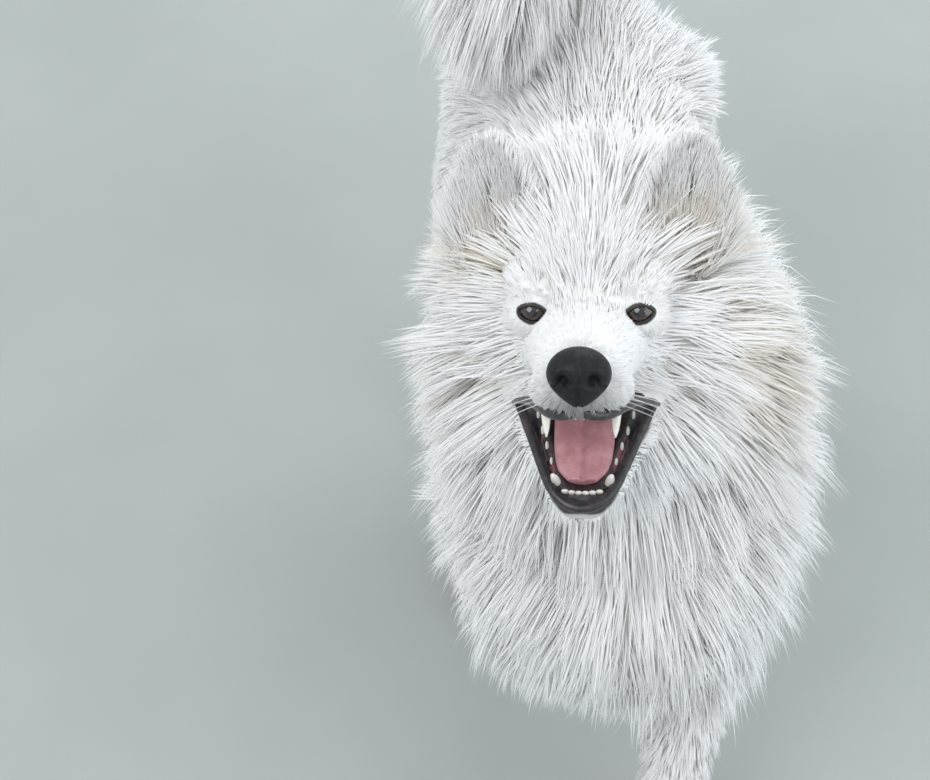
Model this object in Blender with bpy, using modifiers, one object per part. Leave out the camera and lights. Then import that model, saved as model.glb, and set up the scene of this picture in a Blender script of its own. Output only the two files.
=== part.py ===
"""A samoyed, life size, that walks towards the viewer with its face raised and its mouth open.

Metres, +Z up. The dog faces -Y and its left side is +X. The paws stand on z = 0, and at the end the
whole dog is moved so that the middle of its box is over the origin.
"""

import math
import random

import bmesh
import bpy
from mathutils import Euler, Matrix, Vector
from mathutils.bvhtree import BVHTree

# Fit between touching pieces
GAP = 0.0003
SEAT_GROWTH = 0.0005
SPACE = 4.0

# The coat: the core of each long-haired node holds this share of the coat's depth, and locks the rest
CORE_SHARE = 0.5
SEED = 11

# Where the head is carried: the point between the eyes, and how the head is turned
EYE_MIDDLE = Vector((-0.042, -0.134, 0.706))
HEAD_RAISED = math.radians(39.8)
HEAD_TURNED = math.radians(-6.8)
HEAD_TILTED = math.radians(8.9)

# Torso: distance behind the withers, height of the middle, half width, half height and coat, bare of hair
TORSO = (
    (-0.140, 0.385, 0.050, 0.062, 0.045),
    (-0.090, 0.380, 0.090, 0.105, 0.056),
    (-0.020, 0.390, 0.106, 0.128, 0.062),
    (0.080, 0.402, 0.104, 0.120, 0.058),
    (0.180, 0.420, 0.090, 0.102, 0.045),
    (0.270, 0.434, 0.077, 0.088, 0.042),
    (0.350, 0.440, 0.078, 0.084, 0.042),
    (0.415, 0.438, 0.062, 0.072, 0.042),
    (0.450, 0.436, 0.036, 0.048, 0.042),
)
SPINE_BEND = 0.23
CHEST_SHIFT = 0.007

# Neck, from the shoulders to the skull: place, half width, half depth and coat
NECK = (
    ((0.000, -0.010, 0.430), 0.090, 0.100, 0.050),
    ((-0.010, -0.040, 0.510), 0.080, 0.088, 0.062),
    ((-0.024, -0.062, 0.580), 0.072, 0.078, 0.070),
    ((-0.034, -0.070, 0.640), 0.064, 0.070, 0.066),
    ((-0.039, -0.090, 0.690), 0.030, 0.036, 0.030),
)
CHEST = ((0.006, -0.106, 0.345), (0.085, 0.060, 0.095), 0.045)
BODY_VOXEL = 0.007
BODY_TRIANGLES = 800

bpy_objects = bpy.data.objects


def clear_scene():
    for obj in list(bpy_objects):
        bpy_objects.remove(obj)


def collection_named(name, hidden=False):
    made = bpy.data.collections.new(name)
    bpy.context.scene.collection.children.link(made)
    made.hide_render = hidden
    return made


def new_object(name, mesh, collection):
    obj = bpy_objects.new(name, mesh)
    collection.objects.link(obj)
    return obj


def from_bmesh(name, bm, collection):
    bmesh.ops.recalc_face_normals(bm, faces=bm.faces)
    mesh = bpy.data.meshes.new(name)
    bm.to_mesh(mesh)
    bm.free()
    return new_object(name, mesh, collection)


def settle(obj):
    """Replaces the object's mesh by the one that its modifiers make, in world space."""
    bpy.context.view_layer.update()
    evaluated = obj.evaluated_get(bpy.context.evaluated_depsgraph_get())
    mesh = bpy.data.meshes.new_from_object(evaluated)
    mesh.transform(obj.matrix_world)
    obj.modifiers.clear()
    obj.data = mesh
    obj.matrix_world = Matrix.Identity(4)
    return obj


def remove(objects):
    for obj in list(objects):
        bpy_objects.remove(obj)


def loft(name, stations, sides, collection, out=Vector((0, 0, 1))):
    """A closed tube through (centre, half width, half height) stations."""
    bm = bmesh.new()
    centres = [Vector(s[0]) for s in stations]
    rings = []
    last = len(stations) - 1
    for i, (centre, half_width, half_height) in enumerate(stations):
        along = (centres[min(i + 1, last)] - centres[max(i - 1, 0)]).normalized()
        across = along.cross(out).normalized()
        lift = across.cross(along)
        ring = []
        for k in range(sides):
            turn = 2 * math.pi * (k + 0.5) / sides + math.pi
            ring.append(
                bm.verts.new(
                    Vector(centre)
                    + across * half_width * math.sin(turn)
                    - lift * half_height * math.cos(turn)
                )
            )
        rings.append(ring)
    for near, far in zip(rings, rings[1:]):
        for k in range(sides):
            after = (k + 1) % sides
            bm.faces.new((near[k], near[after], far[after], far[k]))
    bm.faces.new(rings[0])
    bm.faces.new(rings[-1])
    return from_bmesh(name, bm, collection)


def ball(name, centre, radii, collection, turn=(0, 0, 0), place=Matrix.Identity(4), segments=24):
    """An ellipsoid of the three radii, turned by Euler angles in degrees, in the frame of place."""
    bm = bmesh.new()
    bmesh.ops.create_uvsphere(bm, u_segments=segments, v_segments=segments // 2, radius=1)
    turned = Euler([math.radians(a) for a in turn]).to_matrix().to_4x4()
    local = Matrix.Translation(centre) @ turned @ Matrix.Diagonal((*radii, 1))
    bmesh.ops.transform(bm, matrix=place @ local, verts=bm.verts)
    return from_bmesh(name, bm, collection)


def join(name, pieces, collection):
    """All the pieces as one mesh of overlapping shells, ready for a remesh."""
    bm = bmesh.new()
    for piece in pieces:
        bm.from_mesh(piece.data)
    remove(pieces)
    mesh = bpy.data.meshes.new(name)
    bm.to_mesh(mesh)
    bm.free()
    return new_object(name, mesh, collection)


def blend(obj, voxel, smoothing, triangles):
    """One smooth skin over overlapping shells, brought down to a number of triangles."""
    remesh = obj.modifiers.new("one_skin", "REMESH")
    remesh.mode = "VOXEL"
    remesh.voxel_size = voxel
    smooth = obj.modifiers.new("soften", "SMOOTH")
    smooth.factor = 0.5
    smooth.iterations = smoothing
    settle(obj)
    count = sum(len(p.vertices) - 2 for p in obj.data.polygons)
    fewer = obj.modifiers.new("fewer", "DECIMATE")
    fewer.ratio = min(1.0, triangles / count)
    fewer.use_collapse_triangulate = True
    return settle(obj)


def boolean(obj, operation, other, solver="MANIFOLD"):
    cut = obj.modifiers.new("cut", "BOOLEAN")
    cut.operation = operation
    cut.solver = solver
    if isinstance(other, bpy.types.Collection):
        cut.operand_type = "COLLECTION"
        cut.collection = other
    else:
        cut.object = other
    return settle(obj)


def keep_largest(obj):
    """Drops loose scraps and fills sealed hollows: only the largest closed surface stays."""
    bm = bmesh.new()
    bm.from_mesh(obj.data)
    left = set(bm.faces)
    shells = []
    while left:
        shell = {left.pop()}
        edge = list(shell)
        while edge:
            face = edge.pop()
            for corner in face.verts:
                for near in corner.link_faces:
                    if near in left:
                        left.discard(near)
                        shell.add(near)
                        edge.append(near)
        shells.append(shell)

    def volume(shell):
        total = 0.0
        for face in shell:
            first = face.verts[0].co
            for a, b in zip(face.verts[1:], face.verts[2:]):
                total += first.dot(a.co.cross(b.co)) / 6
        return total

    shells.sort(key=volume, reverse=True)
    dropped = [face for shell in shells[1:] for face in shell]
    bmesh.ops.delete(bm, geom=dropped, context="FACES")
    loose = [v for v in bm.verts if not v.link_faces]
    bmesh.ops.delete(bm, geom=loose, context="VERTS")
    bm.to_mesh(obj.data)
    bm.free()
    return obj


def fuse(obj, pieces):
    """Joins closed pieces to obj as one closed body."""
    roots = collection_named("pieces_of_" + obj.name)
    for piece in pieces:
        for home in piece.users_collection:
            home.objects.unlink(piece)
        roots.objects.link(piece)
    boolean(obj, "UNION", roots)
    remove(roots.objects)
    bpy.data.collections.remove(roots)
    return keep_largest(obj)


def grown_copy(piece):
    """A cutter of the piece's own shape, a little larger."""
    cutter = new_object("seat_of_" + piece.name, piece.data.copy(), CUTTERS)
    grow = cutter.modifiers.new("grow", "DISPLACE")
    grow.strength = SEAT_GROWTH
    grow.mid_level = 0.0
    return settle(cutter)


def seat(host, *pieces):
    """Cuts the pieces' own shapes, a little larger, out of their host, so that they meet face to face."""
    for piece in pieces:
        cutter = grown_copy(piece)
        boolean(host, "DIFFERENCE", cutter)
        remove([cutter])
    return keep_largest(host)


def grow_and_fuse(core, locks):
    """Joins the locks to their core, and makes the seat's cutter of the same pieces, each grown by itself."""
    cutter = grown_copy(core)
    fuse(cutter, [grown_copy(piece) for piece in locks])
    fuse(core, locks)
    return cutter


def half_space(name, point, normal):
    """A block that fills one side of a plane."""
    bm = bmesh.new()
    bmesh.ops.create_cube(bm, size=SPACE)
    turned = Vector((0, 0, 1)).rotation_difference(normal).to_matrix().to_4x4()
    bmesh.ops.translate(bm, vec=(0, 0, SPACE / 2), verts=bm.verts)
    bmesh.ops.transform(bm, matrix=Matrix.Translation(point) @ turned, verts=bm.verts)
    return from_bmesh(name, bm, CUTTERS)


def clip(obj, point, normal, gap=GAP / 2):
    """Keeps what lies on the normal's side of a plane, half a gap away from it."""
    block = half_space("block", point + normal.normalized() * gap, normal.normalized())
    boolean(obj, "INTERSECT", block)
    remove([block])
    return keep_largest(obj)


def copy_of(obj, name):
    return new_object(name, obj.data.copy(), obj.users_collection[0])


def material(name, colour, roughness):
    made = bpy.data.materials.new(name)
    made.use_nodes = True
    shader = made.node_tree.nodes["Principled BSDF"]
    shader.inputs["Base Color"].default_value = (*colour, 1)
    shader.inputs["Roughness"].default_value = roughness
    made.diffuse_color = (*colour, 1)
    return made


def finish(obj, name, finish_material):
    obj.name = name
    obj.data.name = name
    obj.data.materials.clear()
    obj.data.materials.append(finish_material)
    for home in obj.users_collection:
        home.objects.unlink(obj)
    DOG.objects.link(obj)
    return obj


clear_scene()
DOG = collection_named("samoyed")
CUTTERS = collection_named("cutters", hidden=True)


def head_frame():
    """Axes of the head: x to the dog's left, y along the muzzle, z out of the top of the skull."""
    forward = Vector(
        (
            math.sin(HEAD_TURNED) * math.cos(HEAD_RAISED),
            -math.cos(HEAD_TURNED) * math.cos(HEAD_RAISED),
            math.sin(HEAD_RAISED),
        )
    )
    left = Vector((math.cos(HEAD_TURNED), math.sin(HEAD_TURNED), 0))
    up = left.cross(forward)
    if up.z < 0:
        up = -up
    tilted_left = left * math.cos(HEAD_TILTED) + up * math.sin(HEAD_TILTED)
    tilted_up = up * math.cos(HEAD_TILTED) - left * math.sin(HEAD_TILTED)
    turn = Matrix((tilted_left, forward, tilted_up)).transposed().to_4x4()
    return Matrix.Translation(EYE_MIDDLE) @ turn


HEAD = head_frame()
JAW_HINGE = Vector((0, -0.045, -0.030))
JAW_OPEN = math.radians(-42)
JAW = HEAD @ Matrix.Translation(JAW_HINGE) @ Matrix.Rotation(JAW_OPEN, 4, "X")


def spine_shift(y):
    return CHEST_SHIFT - SPINE_BEND * max(y + 0.1, 0) ** 2


def placed(stations, place):
    """Loft stations moved from a part's own frame to the world's."""
    return [(place @ Vector(centre), *sizes) for centre, *sizes in stations]


def tube(name, points, radius, collection, place=Matrix.Identity(4)):
    """A round cord along a smooth curve through the points, with closed ends."""
    curve = bpy.data.curves.new(name, "CURVE")
    curve.dimensions = "3D"
    curve.bevel_depth = radius
    curve.bevel_resolution = 0
    curve.use_fill_caps = True
    spline = curve.splines.new("POLY")
    spline.points.add(len(points) - 1)
    for knot, point in zip(spline.points, points):
        knot.co = (*(place @ Vector(point)), 1)
    guide = new_object(name, curve, collection)
    bpy.context.view_layer.update()
    evaluated = guide.evaluated_get(bpy.context.evaluated_depsgraph_get())
    mesh = bpy.data.meshes.new_from_object(evaluated)
    bpy_objects.remove(guide)
    bm = bmesh.new()
    bm.from_mesh(mesh)
    bmesh.ops.remove_doubles(bm, verts=bm.verts, dist=0.00001)
    return from_bmesh(name, bm, collection)


def cone(name, root, tip, radius, collection, place=Matrix.Identity(4), sides=6):
    """A pointed tooth or claw from root to tip."""
    start = place @ Vector(root)
    end = place @ Vector(tip)
    bm = bmesh.new()
    bmesh.ops.create_cone(
        bm, cap_ends=True, segments=sides, radius1=radius, radius2=radius * 0.12, depth=(end - start).length
    )
    turned = Vector((0, 0, 1)).rotation_difference(end - start).to_matrix().to_4x4()
    bmesh.ops.transform(bm, matrix=Matrix.Translation((start + end) / 2) @ turned, verts=bm.verts)
    return from_bmesh(name, bm, collection)


def mirrored(x_sign, point):
    return Vector((x_sign * point[0], point[1], point[2]))


# Locks of long hair

def lock(name, root, normal, lie, length, width, bend, lift, collection, sunk=0.012):
    """A flat tapered lock with a low ridge, from under the skin at root, that bends along the lie."""
    rings = []
    place = root - normal * sunk
    steps = ((0.0, 0.90), (0.34, 1.0), (0.70, 0.62))
    bm = bmesh.new()
    before = 0.0
    for share, spread in steps:
        heading = (lie + normal * lift * (1.3 - share) + bend * share).normalized()
        if share > 0:
            place = place + heading * (share - before) * length
        before = share
        across = heading.cross(normal).normalized()
        half = width * spread / 2
        ridge = normal * (0.20 * width * spread + 0.0015)
        rings.append(
            [
                bm.verts.new(place - across * half),
                bm.verts.new(place + across * half),
                bm.verts.new(place + ridge),
            ]
        )
    heading = (lie + normal * lift * 0.3 + bend).normalized()
    tip = bm.verts.new(place + heading * (1 - before) * length)
    bm.faces.new(rings[0])
    for near, far in zip(rings, rings[1:]):
        for k in range(3):
            after = (k + 1) % 3
            bm.faces.new((near[k], near[after], far[after]))
            bm.faces.new((near[k], far[after], far[k]))
    for k in range(3):
        bm.faces.new((rings[-1][k], rings[-1][(k + 1) % 3], tip))
    return from_bmesh(name, bm, collection)


def along_surface(flow, normal):
    return (flow - normal * flow.dot(normal)).normalized()


def surface_of(obj):
    mesh = obj.data
    return BVHTree.FromPolygons([v.co for v in mesh.vertices], [tuple(p.vertices) for p in mesh.polygons])


def rows_of_locks(name, surface, rows, draw, flow, collection, reach=0.45):
    """Locks in rows; a row is (centre, axis, up, angles, length, width, bend, lift), angles from up."""
    made = []
    for centre, axis, up, angles, length, width, bend, lift in rows:
        across = axis.cross(up).normalized()
        top = across.cross(axis).normalized()
        for angle in angles:
            turn = math.radians(angle + draw.uniform(-4, 4))
            out = top * math.cos(turn) + across * math.sin(turn)
            start = centre + axis * draw.uniform(-0.014, 0.014)
            hit, normal, _, _ = surface.ray_cast(start + out * reach, -out)
            if hit is None:
                continue
            lie = along_surface(flow(hit, normal), normal)
            lie = (lie + lie.cross(normal) * draw.uniform(-0.16, 0.16)).normalized()
            made.append(
                lock(
                    name,
                    hit,
                    normal,
                    lie,
                    length * draw.uniform(0.85, 1.15),
                    width * draw.uniform(0.85, 1.15),
                    bend,
                    lift,
                    collection,
                )
            )
    return made


def coat_flow(point, normal):
    """The lie of the body's coat: backwards along the back, down the chest and the sides."""
    front = max(0.0, -normal.y) + 0.55 * max(0.0, min(1.0, (0.06 - point.y) / 0.12))
    return Vector((0, 1.0 - min(front, 1.0), -0.45 - front))


def spread(count, first=0.0, last=360.0):
    """Angles set evenly from first to last, with no lock twice at the same place of a full turn."""
    step = (last - first) / (count if last - first >= 360 else count - 1)
    return [first + step * k for k in range(count)]


# Torso and neck

def body_core(share):
    torso = [
        ((spine_shift(y), y, z), half_width + coat * share, half_height + coat * share)
        for y, z, half_width, half_height, coat in TORSO
    ]
    neck = [
        (centre, half_width + coat * share, half_depth + coat * share)
        for centre, half_width, half_depth, coat in NECK
    ]
    ends = [torso[0], torso[-1]]
    pieces = [
        loft("torso_core", torso, 28, DOG),
        loft("neck_core", neck, 28, DOG, out=Vector((0, -1, 0))),
    ]
    for centre, half_width, half_height in ends:
        pieces.append(ball("end", centre, (half_width * 0.96, 0.035, half_height * 0.96), DOG))
    chest = ball("chest", CHEST[0], [r + CHEST[2] * share for r in CHEST[1]], DOG)
    pieces.append(chest)
    body = join("body", pieces, DOG)
    return blend(body, BODY_VOXEL, 6, BODY_TRIANGLES)


# Head, in its own frame

SKULL = ((0, -0.072, 0.000), (0.064, 0.062, 0.054), 0.016)
FOREHEAD = ((0, -0.032, 0.006), (0.044, 0.034, 0.034), 0.008)
CHEEK = ((0.046, -0.086, -0.034), (0.034, 0.040, 0.044), 0.034)
BROW = ((0.030, -0.018, 0.013), (0.020, 0.018, 0.012), 0.003)
THROAT = ((0, -0.075, -0.060), (0.060, 0.060, 0.050), 0.040)
FLEW = ((0.0165, 0.056, -0.036), (0.0145, 0.028, 0.0125), 0.001)
MUZZLE = (
    ((0, -0.030, -0.020), 0.041, 0.031),
    ((0, 0.018, -0.022), 0.035, 0.026),
    ((0, 0.045, -0.025), 0.0295, 0.0215),
    ((0, 0.070, -0.028), 0.0250, 0.0195),
    ((0, 0.084, -0.030), 0.0180, 0.0155),
)
MUZZLE_COAT = 0.002
EYE_SIDE = 0.0350
EYE_DEPTH = -0.0085
EYE_RADIUS = 0.0115
LID_RADIUS = 0.0098
LID_THICKNESS = 0.0022
UPPER_LIP = (
    (0.000, 0.0835, -0.0475),
    (0.010, 0.0810, -0.0500),
    (0.020, 0.0720, -0.0510),
    (0.0285, 0.0560, -0.0500),
    (0.0360, 0.0360, -0.0505),
    (0.0425, 0.0180, -0.0540),
    (0.0475, 0.0040, -0.0590),
)
LIP_RADIUS = 0.0030
MOUTH = (
    ((0, -0.030, -0.058), 0.020, 0.008),
    ((0, 0.002, -0.066), 0.040, 0.016),
    ((0, 0.016, -0.075), 0.060, 0.0265),
    ((0, 0.070, -0.092), 0.070, 0.0430),
    ((0, 0.130, -0.110), 0.080, 0.0600),
)
HEAD_VOXEL = 0.0036
HEAD_TRIANGLES = 950


def pair(name, form, share, collection, place):
    """The two balls of a paired form such as the cheeks."""
    centre, radii, coat = form
    sizes = [r + coat * share for r in radii]
    return [ball(name, mirrored(side, centre), sizes, collection, place=place) for side in (-1, 1)]


def single(name, form, share, collection, place):
    centre, radii, coat = form
    return ball(name, centre, [r + coat * share for r in radii], collection, place=place)


def head_core(share):
    pieces = [
        single("skull", SKULL, share, DOG, HEAD),
        single("forehead", FOREHEAD, share, DOG, HEAD),
        single("throat", THROAT, share, DOG, HEAD),
    ]
    pieces += pair("cheek", CHEEK, share, DOG, HEAD)
    pieces += pair("brow", BROW, share, DOG, HEAD)
    pieces += pair("flew", FLEW, share, DOG, HEAD)
    coat = MUZZLE_COAT * share
    muzzle = [(c, w + coat, h + coat) for c, w, h in MUZZLE]
    up = HEAD.to_3x3() @ Vector((0, 0, 1))
    pieces.append(loft("muzzle", placed(muzzle, HEAD), 24, DOG, out=up))
    tip = ball("muzzle_tip", (0, 0.082, -0.031), (0.019, 0.010, 0.0165), DOG, place=HEAD)
    pieces.append(tip)
    head = join("head", pieces, DOG)
    head = blend(head, HEAD_VOXEL, 4, HEAD_TRIANGLES)
    mouth = loft("mouth", placed(MOUTH, HEAD), 20, CUTTERS, out=up)
    boolean(head, "DIFFERENCE", mouth)
    remove([mouth])
    return keep_largest(head)


def lids(side):
    """The two dark lids of one eye: a flattened ring round the eyeball."""
    bpy.ops.mesh.primitive_torus_add(
        major_segments=14,
        minor_segments=5,
        major_radius=LID_RADIUS,
        minor_radius=LID_THICKNESS,
    )
    ring = bpy.context.object
    bm = bmesh.new()
    bm.from_mesh(ring.data)
    remove([ring])
    upright = Matrix.Rotation(math.radians(90), 4, "X")
    flatter = Matrix.Diagonal((1, 1.3, 0.66, 1))
    centre = mirrored(side, (EYE_SIDE, -0.0005, 0.0))
    turned = Euler((0, math.radians(-side * 9), math.radians(-side * 14))).to_matrix().to_4x4()
    placed_ring = HEAD @ Matrix.Translation(centre) @ turned @ flatter @ upright
    bmesh.ops.transform(bm, matrix=placed_ring, verts=bm.verts)
    return from_bmesh("lids", bm, DOG)


def eyeball(side):
    centre = mirrored(side, (EYE_SIDE, EYE_DEPTH, 0.0))
    return ball("eye", centre, (EYE_RADIUS,) * 3, DOG, place=HEAD, segments=14)


def nose_leather():
    nose = ball("nose", (0, 0.0835, -0.0210), (0.0192, 0.0140, 0.0150), DOG, place=HEAD, segments=16)
    for side in (-1, 1):
        nostril = ball(
            "nostril",
            mirrored(side, (0.0098, 0.0965, -0.0215)),
            (0.0042, 0.0075, 0.0046),
            CUTTERS,
            turn=(0, side * 25, side * -28),
            place=HEAD,
            segments=12,
        )
        boolean(nose, "DIFFERENCE", nostril)
        remove([nostril])
    return keep_largest(nose)


EAR_HEIGHT = 0.078
EAR_HALF_WIDTH = 0.031
EAR_THICK = 0.0055
EAR_CUP = 0.016


def ear(side):
    """A thick, rounded, upright ear whose front is hollowed into a cup."""
    bm = bmesh.new()
    bmesh.ops.create_uvsphere(bm, u_segments=18, v_segments=10, radius=1)
    for vert in bm.verts:
        x, y, z = vert.co
        up = (z + 1) / 2
        half = EAR_HALF_WIDTH * (1.5 - up)
        bowl = EAR_CUP * (1 - x * x) * (1 - up) ** 0.5
        vert.co = Vector((x * half, -y * EAR_THICK - bowl, up * EAR_HEIGHT))
    root = Vector((side * 0.062, -0.064, 0.030))
    tip = Vector((side * 0.067, -0.066, 0.106))
    rise = (tip - root).normalized()
    face = Vector((side * 0.25, 1.0, 0.0))
    face = (face - rise * face.dot(rise)).normalized()
    wide = face.cross(rise).normalized()
    turn = Matrix((wide, face, rise)).transposed().to_4x4()
    bmesh.ops.transform(bm, matrix=HEAD @ Matrix.Translation(root) @ turn, verts=bm.verts)
    return from_bmesh("ear", bm, DOG)


# Jaw and tongue, in the jaw's frame: y runs from the hinge to the chin

JAW_FORM = (
    ((0, 0.018, -0.008), 0.030, 0.012),
    ((0, 0.056, -0.006), 0.0440, 0.0165),
    ((0, 0.085, -0.006), 0.0330, 0.0150),
    ((0, 0.108, -0.005), 0.0255, 0.0135),
    ((0, 0.122, -0.004), 0.0200, 0.0115),
    ((0, 0.132, -0.003), 0.0120, 0.0075),
)
JAW_TROUGH = (
    ((0, 0.010, 0.018), 0.0240, 0.0180),
    ((0, 0.056, 0.016), 0.0350, 0.0160),
    ((0, 0.085, 0.014), 0.0250, 0.0140),
    ((0, 0.108, 0.014), 0.0175, 0.0120),
    ((0, 0.119, 0.014), 0.0120, 0.0090),
)
LOWER_LIP = (
    (0.0440, 0.054, 0.0095),
    (0.0350, 0.078, 0.0075),
    (0.0265, 0.102, 0.0065),
    (0.0195, 0.119, 0.0060),
    (0.0105, 0.1285, 0.0045),
    (0.0, 0.1315, 0.0040),
)
TONGUE = (
    ((0, 0.016, 0.004), 0.0160, 0.0060),
    ((0, 0.050, 0.0065), 0.0195, 0.0070),
    ((0, 0.085, 0.0060), 0.0195, 0.0060),
    ((0, 0.104, 0.0060), 0.0165, 0.0048),
    ((0, 0.1135, 0.0066), 0.0095, 0.0030),
)


def both_sides(points):
    """A path that runs from one side through the middle to the other; the points are of one side."""
    if points[0][0] == 0:
        points = tuple(reversed(points))
    other = [(-x, y, z) for x, y, z in reversed(points[:-1])]
    return list(points) + other


def lower_jaw(tongue):
    up = JAW.to_3x3() @ Vector((0, 0, 1))
    jaw = loft("jaw", placed(JAW_FORM, JAW), 16, DOG, out=up)
    trough = loft("trough", placed(JAW_TROUGH, JAW), 12, CUTTERS, out=up)
    boolean(jaw, "DIFFERENCE", trough)
    remove([trough])
    pieces = [tube("lower_lip", both_sides(LOWER_LIP), LIP_RADIUS, DOG, place=JAW)]
    for side in (-1, 1):
        pieces.append(cone("canine", (side * 0.0165, 0.1130, -0.002), (side * 0.0185, 0.1150, 0.0200), 0.0034, DOG, JAW))
    for k in range(6):
        x = (k - 2.5) * 0.0046
        y = 0.1225 - 9.0 * x * x
        pieces.append(cone("incisor", (x, y, -0.002), (x, y + 0.001, 0.0115), 0.0022, DOG, JAW, sides=5))
    fuse(jaw, pieces)
    return seat(jaw, tongue)


def tongue_form():
    up = JAW.to_3x3() @ Vector((0, 0, 1))
    return loft("tongue", placed(TONGUE, JAW), 14, DOG, out=up)


# Legs: each joint as place, half width, half depth and coat, from the top down

LEGS = {
    "foreleg_left": (
        ((0.080, -0.062, 0.330), 0.040, 0.050, 0.016),
        ((0.087, -0.092, 0.270), 0.031, 0.038, 0.016),
        ((0.089, -0.128, 0.205), 0.024, 0.028, 0.014),
        ((0.088, -0.160, 0.145), 0.020, 0.022, 0.011),
        ((0.087, -0.184, 0.095), 0.0205, 0.021, 0.009),
        ((0.087, -0.200, 0.045), 0.021, 0.022, 0.007),
    ),
    "foreleg_right": (
        ((-0.080, -0.030, 0.330), 0.040, 0.050, 0.016),
        ((-0.084, -0.006, 0.270), 0.031, 0.038, 0.016),
        ((-0.082, 0.032, 0.205), 0.024, 0.028, 0.014),
        ((-0.079, 0.070, 0.145), 0.020, 0.022, 0.011),
        ((-0.077, 0.096, 0.095), 0.0205, 0.021, 0.009),
        ((-0.076, 0.096, 0.045), 0.021, 0.022, 0.007),
    ),
    "hindleg_left": (
        ((0.030, 0.350, 0.430), 0.044, 0.068, 0.026),
        ((0.040, 0.335, 0.340), 0.043, 0.062, 0.024),
        ((0.042, 0.332, 0.270), 0.034, 0.044, 0.022),
        ((0.040, 0.395, 0.200), 0.023, 0.028, 0.016),
        ((0.037, 0.452, 0.150), 0.018, 0.022, 0.012),
        ((0.037, 0.444, 0.095), 0.018, 0.019, 0.009),
        ((0.037, 0.440, 0.045), 0.020, 0.021, 0.007),
    ),
    "hindleg_right": (
        ((-0.100, 0.330, 0.430), 0.044, 0.068, 0.026),
        ((-0.108, 0.300, 0.340), 0.043, 0.060, 0.024),
        ((-0.110, 0.266, 0.270), 0.034, 0.044, 0.022),
        ((-0.108, 0.305, 0.200), 0.023, 0.028, 0.016),
        ((-0.106, 0.332, 0.150), 0.018, 0.022, 0.012),
        ((-0.106, 0.300, 0.095), 0.018, 0.019, 0.009),
        ((-0.106, 0.282, 0.045), 0.020, 0.021, 0.007),
    ),
}
TOES = ((-0.0270, -0.020), (-0.0095, -0.034), (0.0095, -0.034), (0.0270, -0.020))
TOE_RADII = (0.0120, 0.0210, 0.0165)
PAW_CUT = 0.068
LEG_CLEARANCE = 0.012
LEG_TRIANGLES = {"foreleg": 320, "hindleg": 330}


def leg(name, share):
    """A leg with its paw, flat where it stands on the floor, and its claws."""
    stations = LEGS[name]
    line = [(centre, w + coat * share, d + coat * share) for centre, w, d, coat in stations]
    top, width, depth = line[0]
    foot = Vector(stations[-1][0])
    pieces = [
        loft("bone", line, 18, DOG, out=Vector((0, -1, 0.3))),
        ball("top", top, (width * 0.95, depth * 0.95, 0.04), DOG),
        ball("pad", (foot.x, foot.y - 0.012, 0.020), (0.030, 0.040, 0.024), DOG),
    ]
    claws = []
    for x, y in TOES:
        toe = (foot.x + x, foot.y + y - 0.010, 0.0125)
        pieces.append(ball("toe", toe, [r + 0.003 * share for r in TOE_RADII], DOG, segments=16))
        root = Vector(toe) + Vector((0, -0.012, 0.003))
        claws.append(cone("claw", root, root + Vector((x * 0.12, -0.0175, -0.0090)), 0.0030, DOG, sides=5))
    limb = join(name, pieces, DOG)
    limb = blend(limb, 0.0042, 3, LEG_TRIANGLES[name.split("_")[0]])
    clip(limb, Vector((0, 0, 0)), Vector((0, 0, 1)), gap=0.0)
    middle = spine_shift(top[1])
    side = 1 if top[0] > middle else -1
    clip(limb, Vector((middle, 0, 0)), Vector((side, 0, 0)), gap=LEG_CLEARANCE)
    return limb, claws


# Tail: curled over the back and down the right side

TAIL = (
    ((-0.062, 0.430, 0.500), 0.024, 0.020),
    ((-0.063, 0.474, 0.560), 0.022, 0.034),
    ((-0.064, 0.482, 0.620), 0.020, 0.046),
    ((-0.068, 0.450, 0.672), 0.018, 0.056),
    ((-0.080, 0.395, 0.690), 0.016, 0.062),
    ((-0.098, 0.340, 0.668), 0.014, 0.062),
    ((-0.112, 0.302, 0.622), 0.012, 0.056),
    ((-0.120, 0.284, 0.575), 0.010, 0.040),
    ((-0.124, 0.278, 0.545), 0.008, 0.016),
)
TAIL_TRIANGLES = 320
TAIL_CUTS = (2, 4)


def tail_core(share):
    line = [(centre, r + coat * share, r + coat * share) for centre, r, coat in TAIL]
    end, radius, _ = line[-1]
    pieces = [
        loft("tail", line, 18, DOG, out=Vector((1, 0, 0))),
        ball("tail_end", end, (radius * 0.95,) * 3, DOG),
        ball("tail_root", line[0][0], (line[0][1] * 0.95,) * 3, DOG),
    ]
    tail = join("tail", pieces, DOG)
    return blend(tail, 0.006, 4, TAIL_TRIANGLES)


# Where the long coat grows: rows of (place along the path, number of locks, length, width)

TORSO_ROWS = (
    (0.065, 8, 0.145, 0.072),
    (0.150, 8, 0.140, 0.068),
    (0.235, 8, 0.130, 0.062),
    (0.320, 7, 0.120, 0.062),
    (0.400, 6, 0.105, 0.060),
)
NECK_ROWS = (
    ((0.004, -0.075, 0.280), 5, 0.090, 0.050),
    ((0.004, -0.065, 0.345), 6, 0.120, 0.062),
    ((0.002, -0.045, 0.415), 8, 0.140, 0.064),
    ((-0.008, -0.040, 0.485), 8, 0.145, 0.070),
    ((-0.018, -0.055, 0.555), 8, 0.140, 0.068),
    ((-0.030, -0.072, 0.622), 8, 0.120, 0.064),
)
HEAD_ROWS = (
    ((0, -0.086, -0.020), (60, 95, 130, 230, 265, 300), 0.085, 0.040),
    ((0, -0.122, -0.010), (-22, 22, 78, 112, 248, 282), 0.085, 0.042),
)
TAIL_LOCKS = 5
TAIL_LOCK = (0.140, 0.052)
BREECHES_ROWS = ((0, 4, 0.105, 0.054), (1, 4, 0.100, 0.048), (2, 2, 0.070, 0.034))
FEATHER_ROWS = ((0, 2, 0.062, 0.030), (1, 2, 0.055, 0.027))
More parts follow.
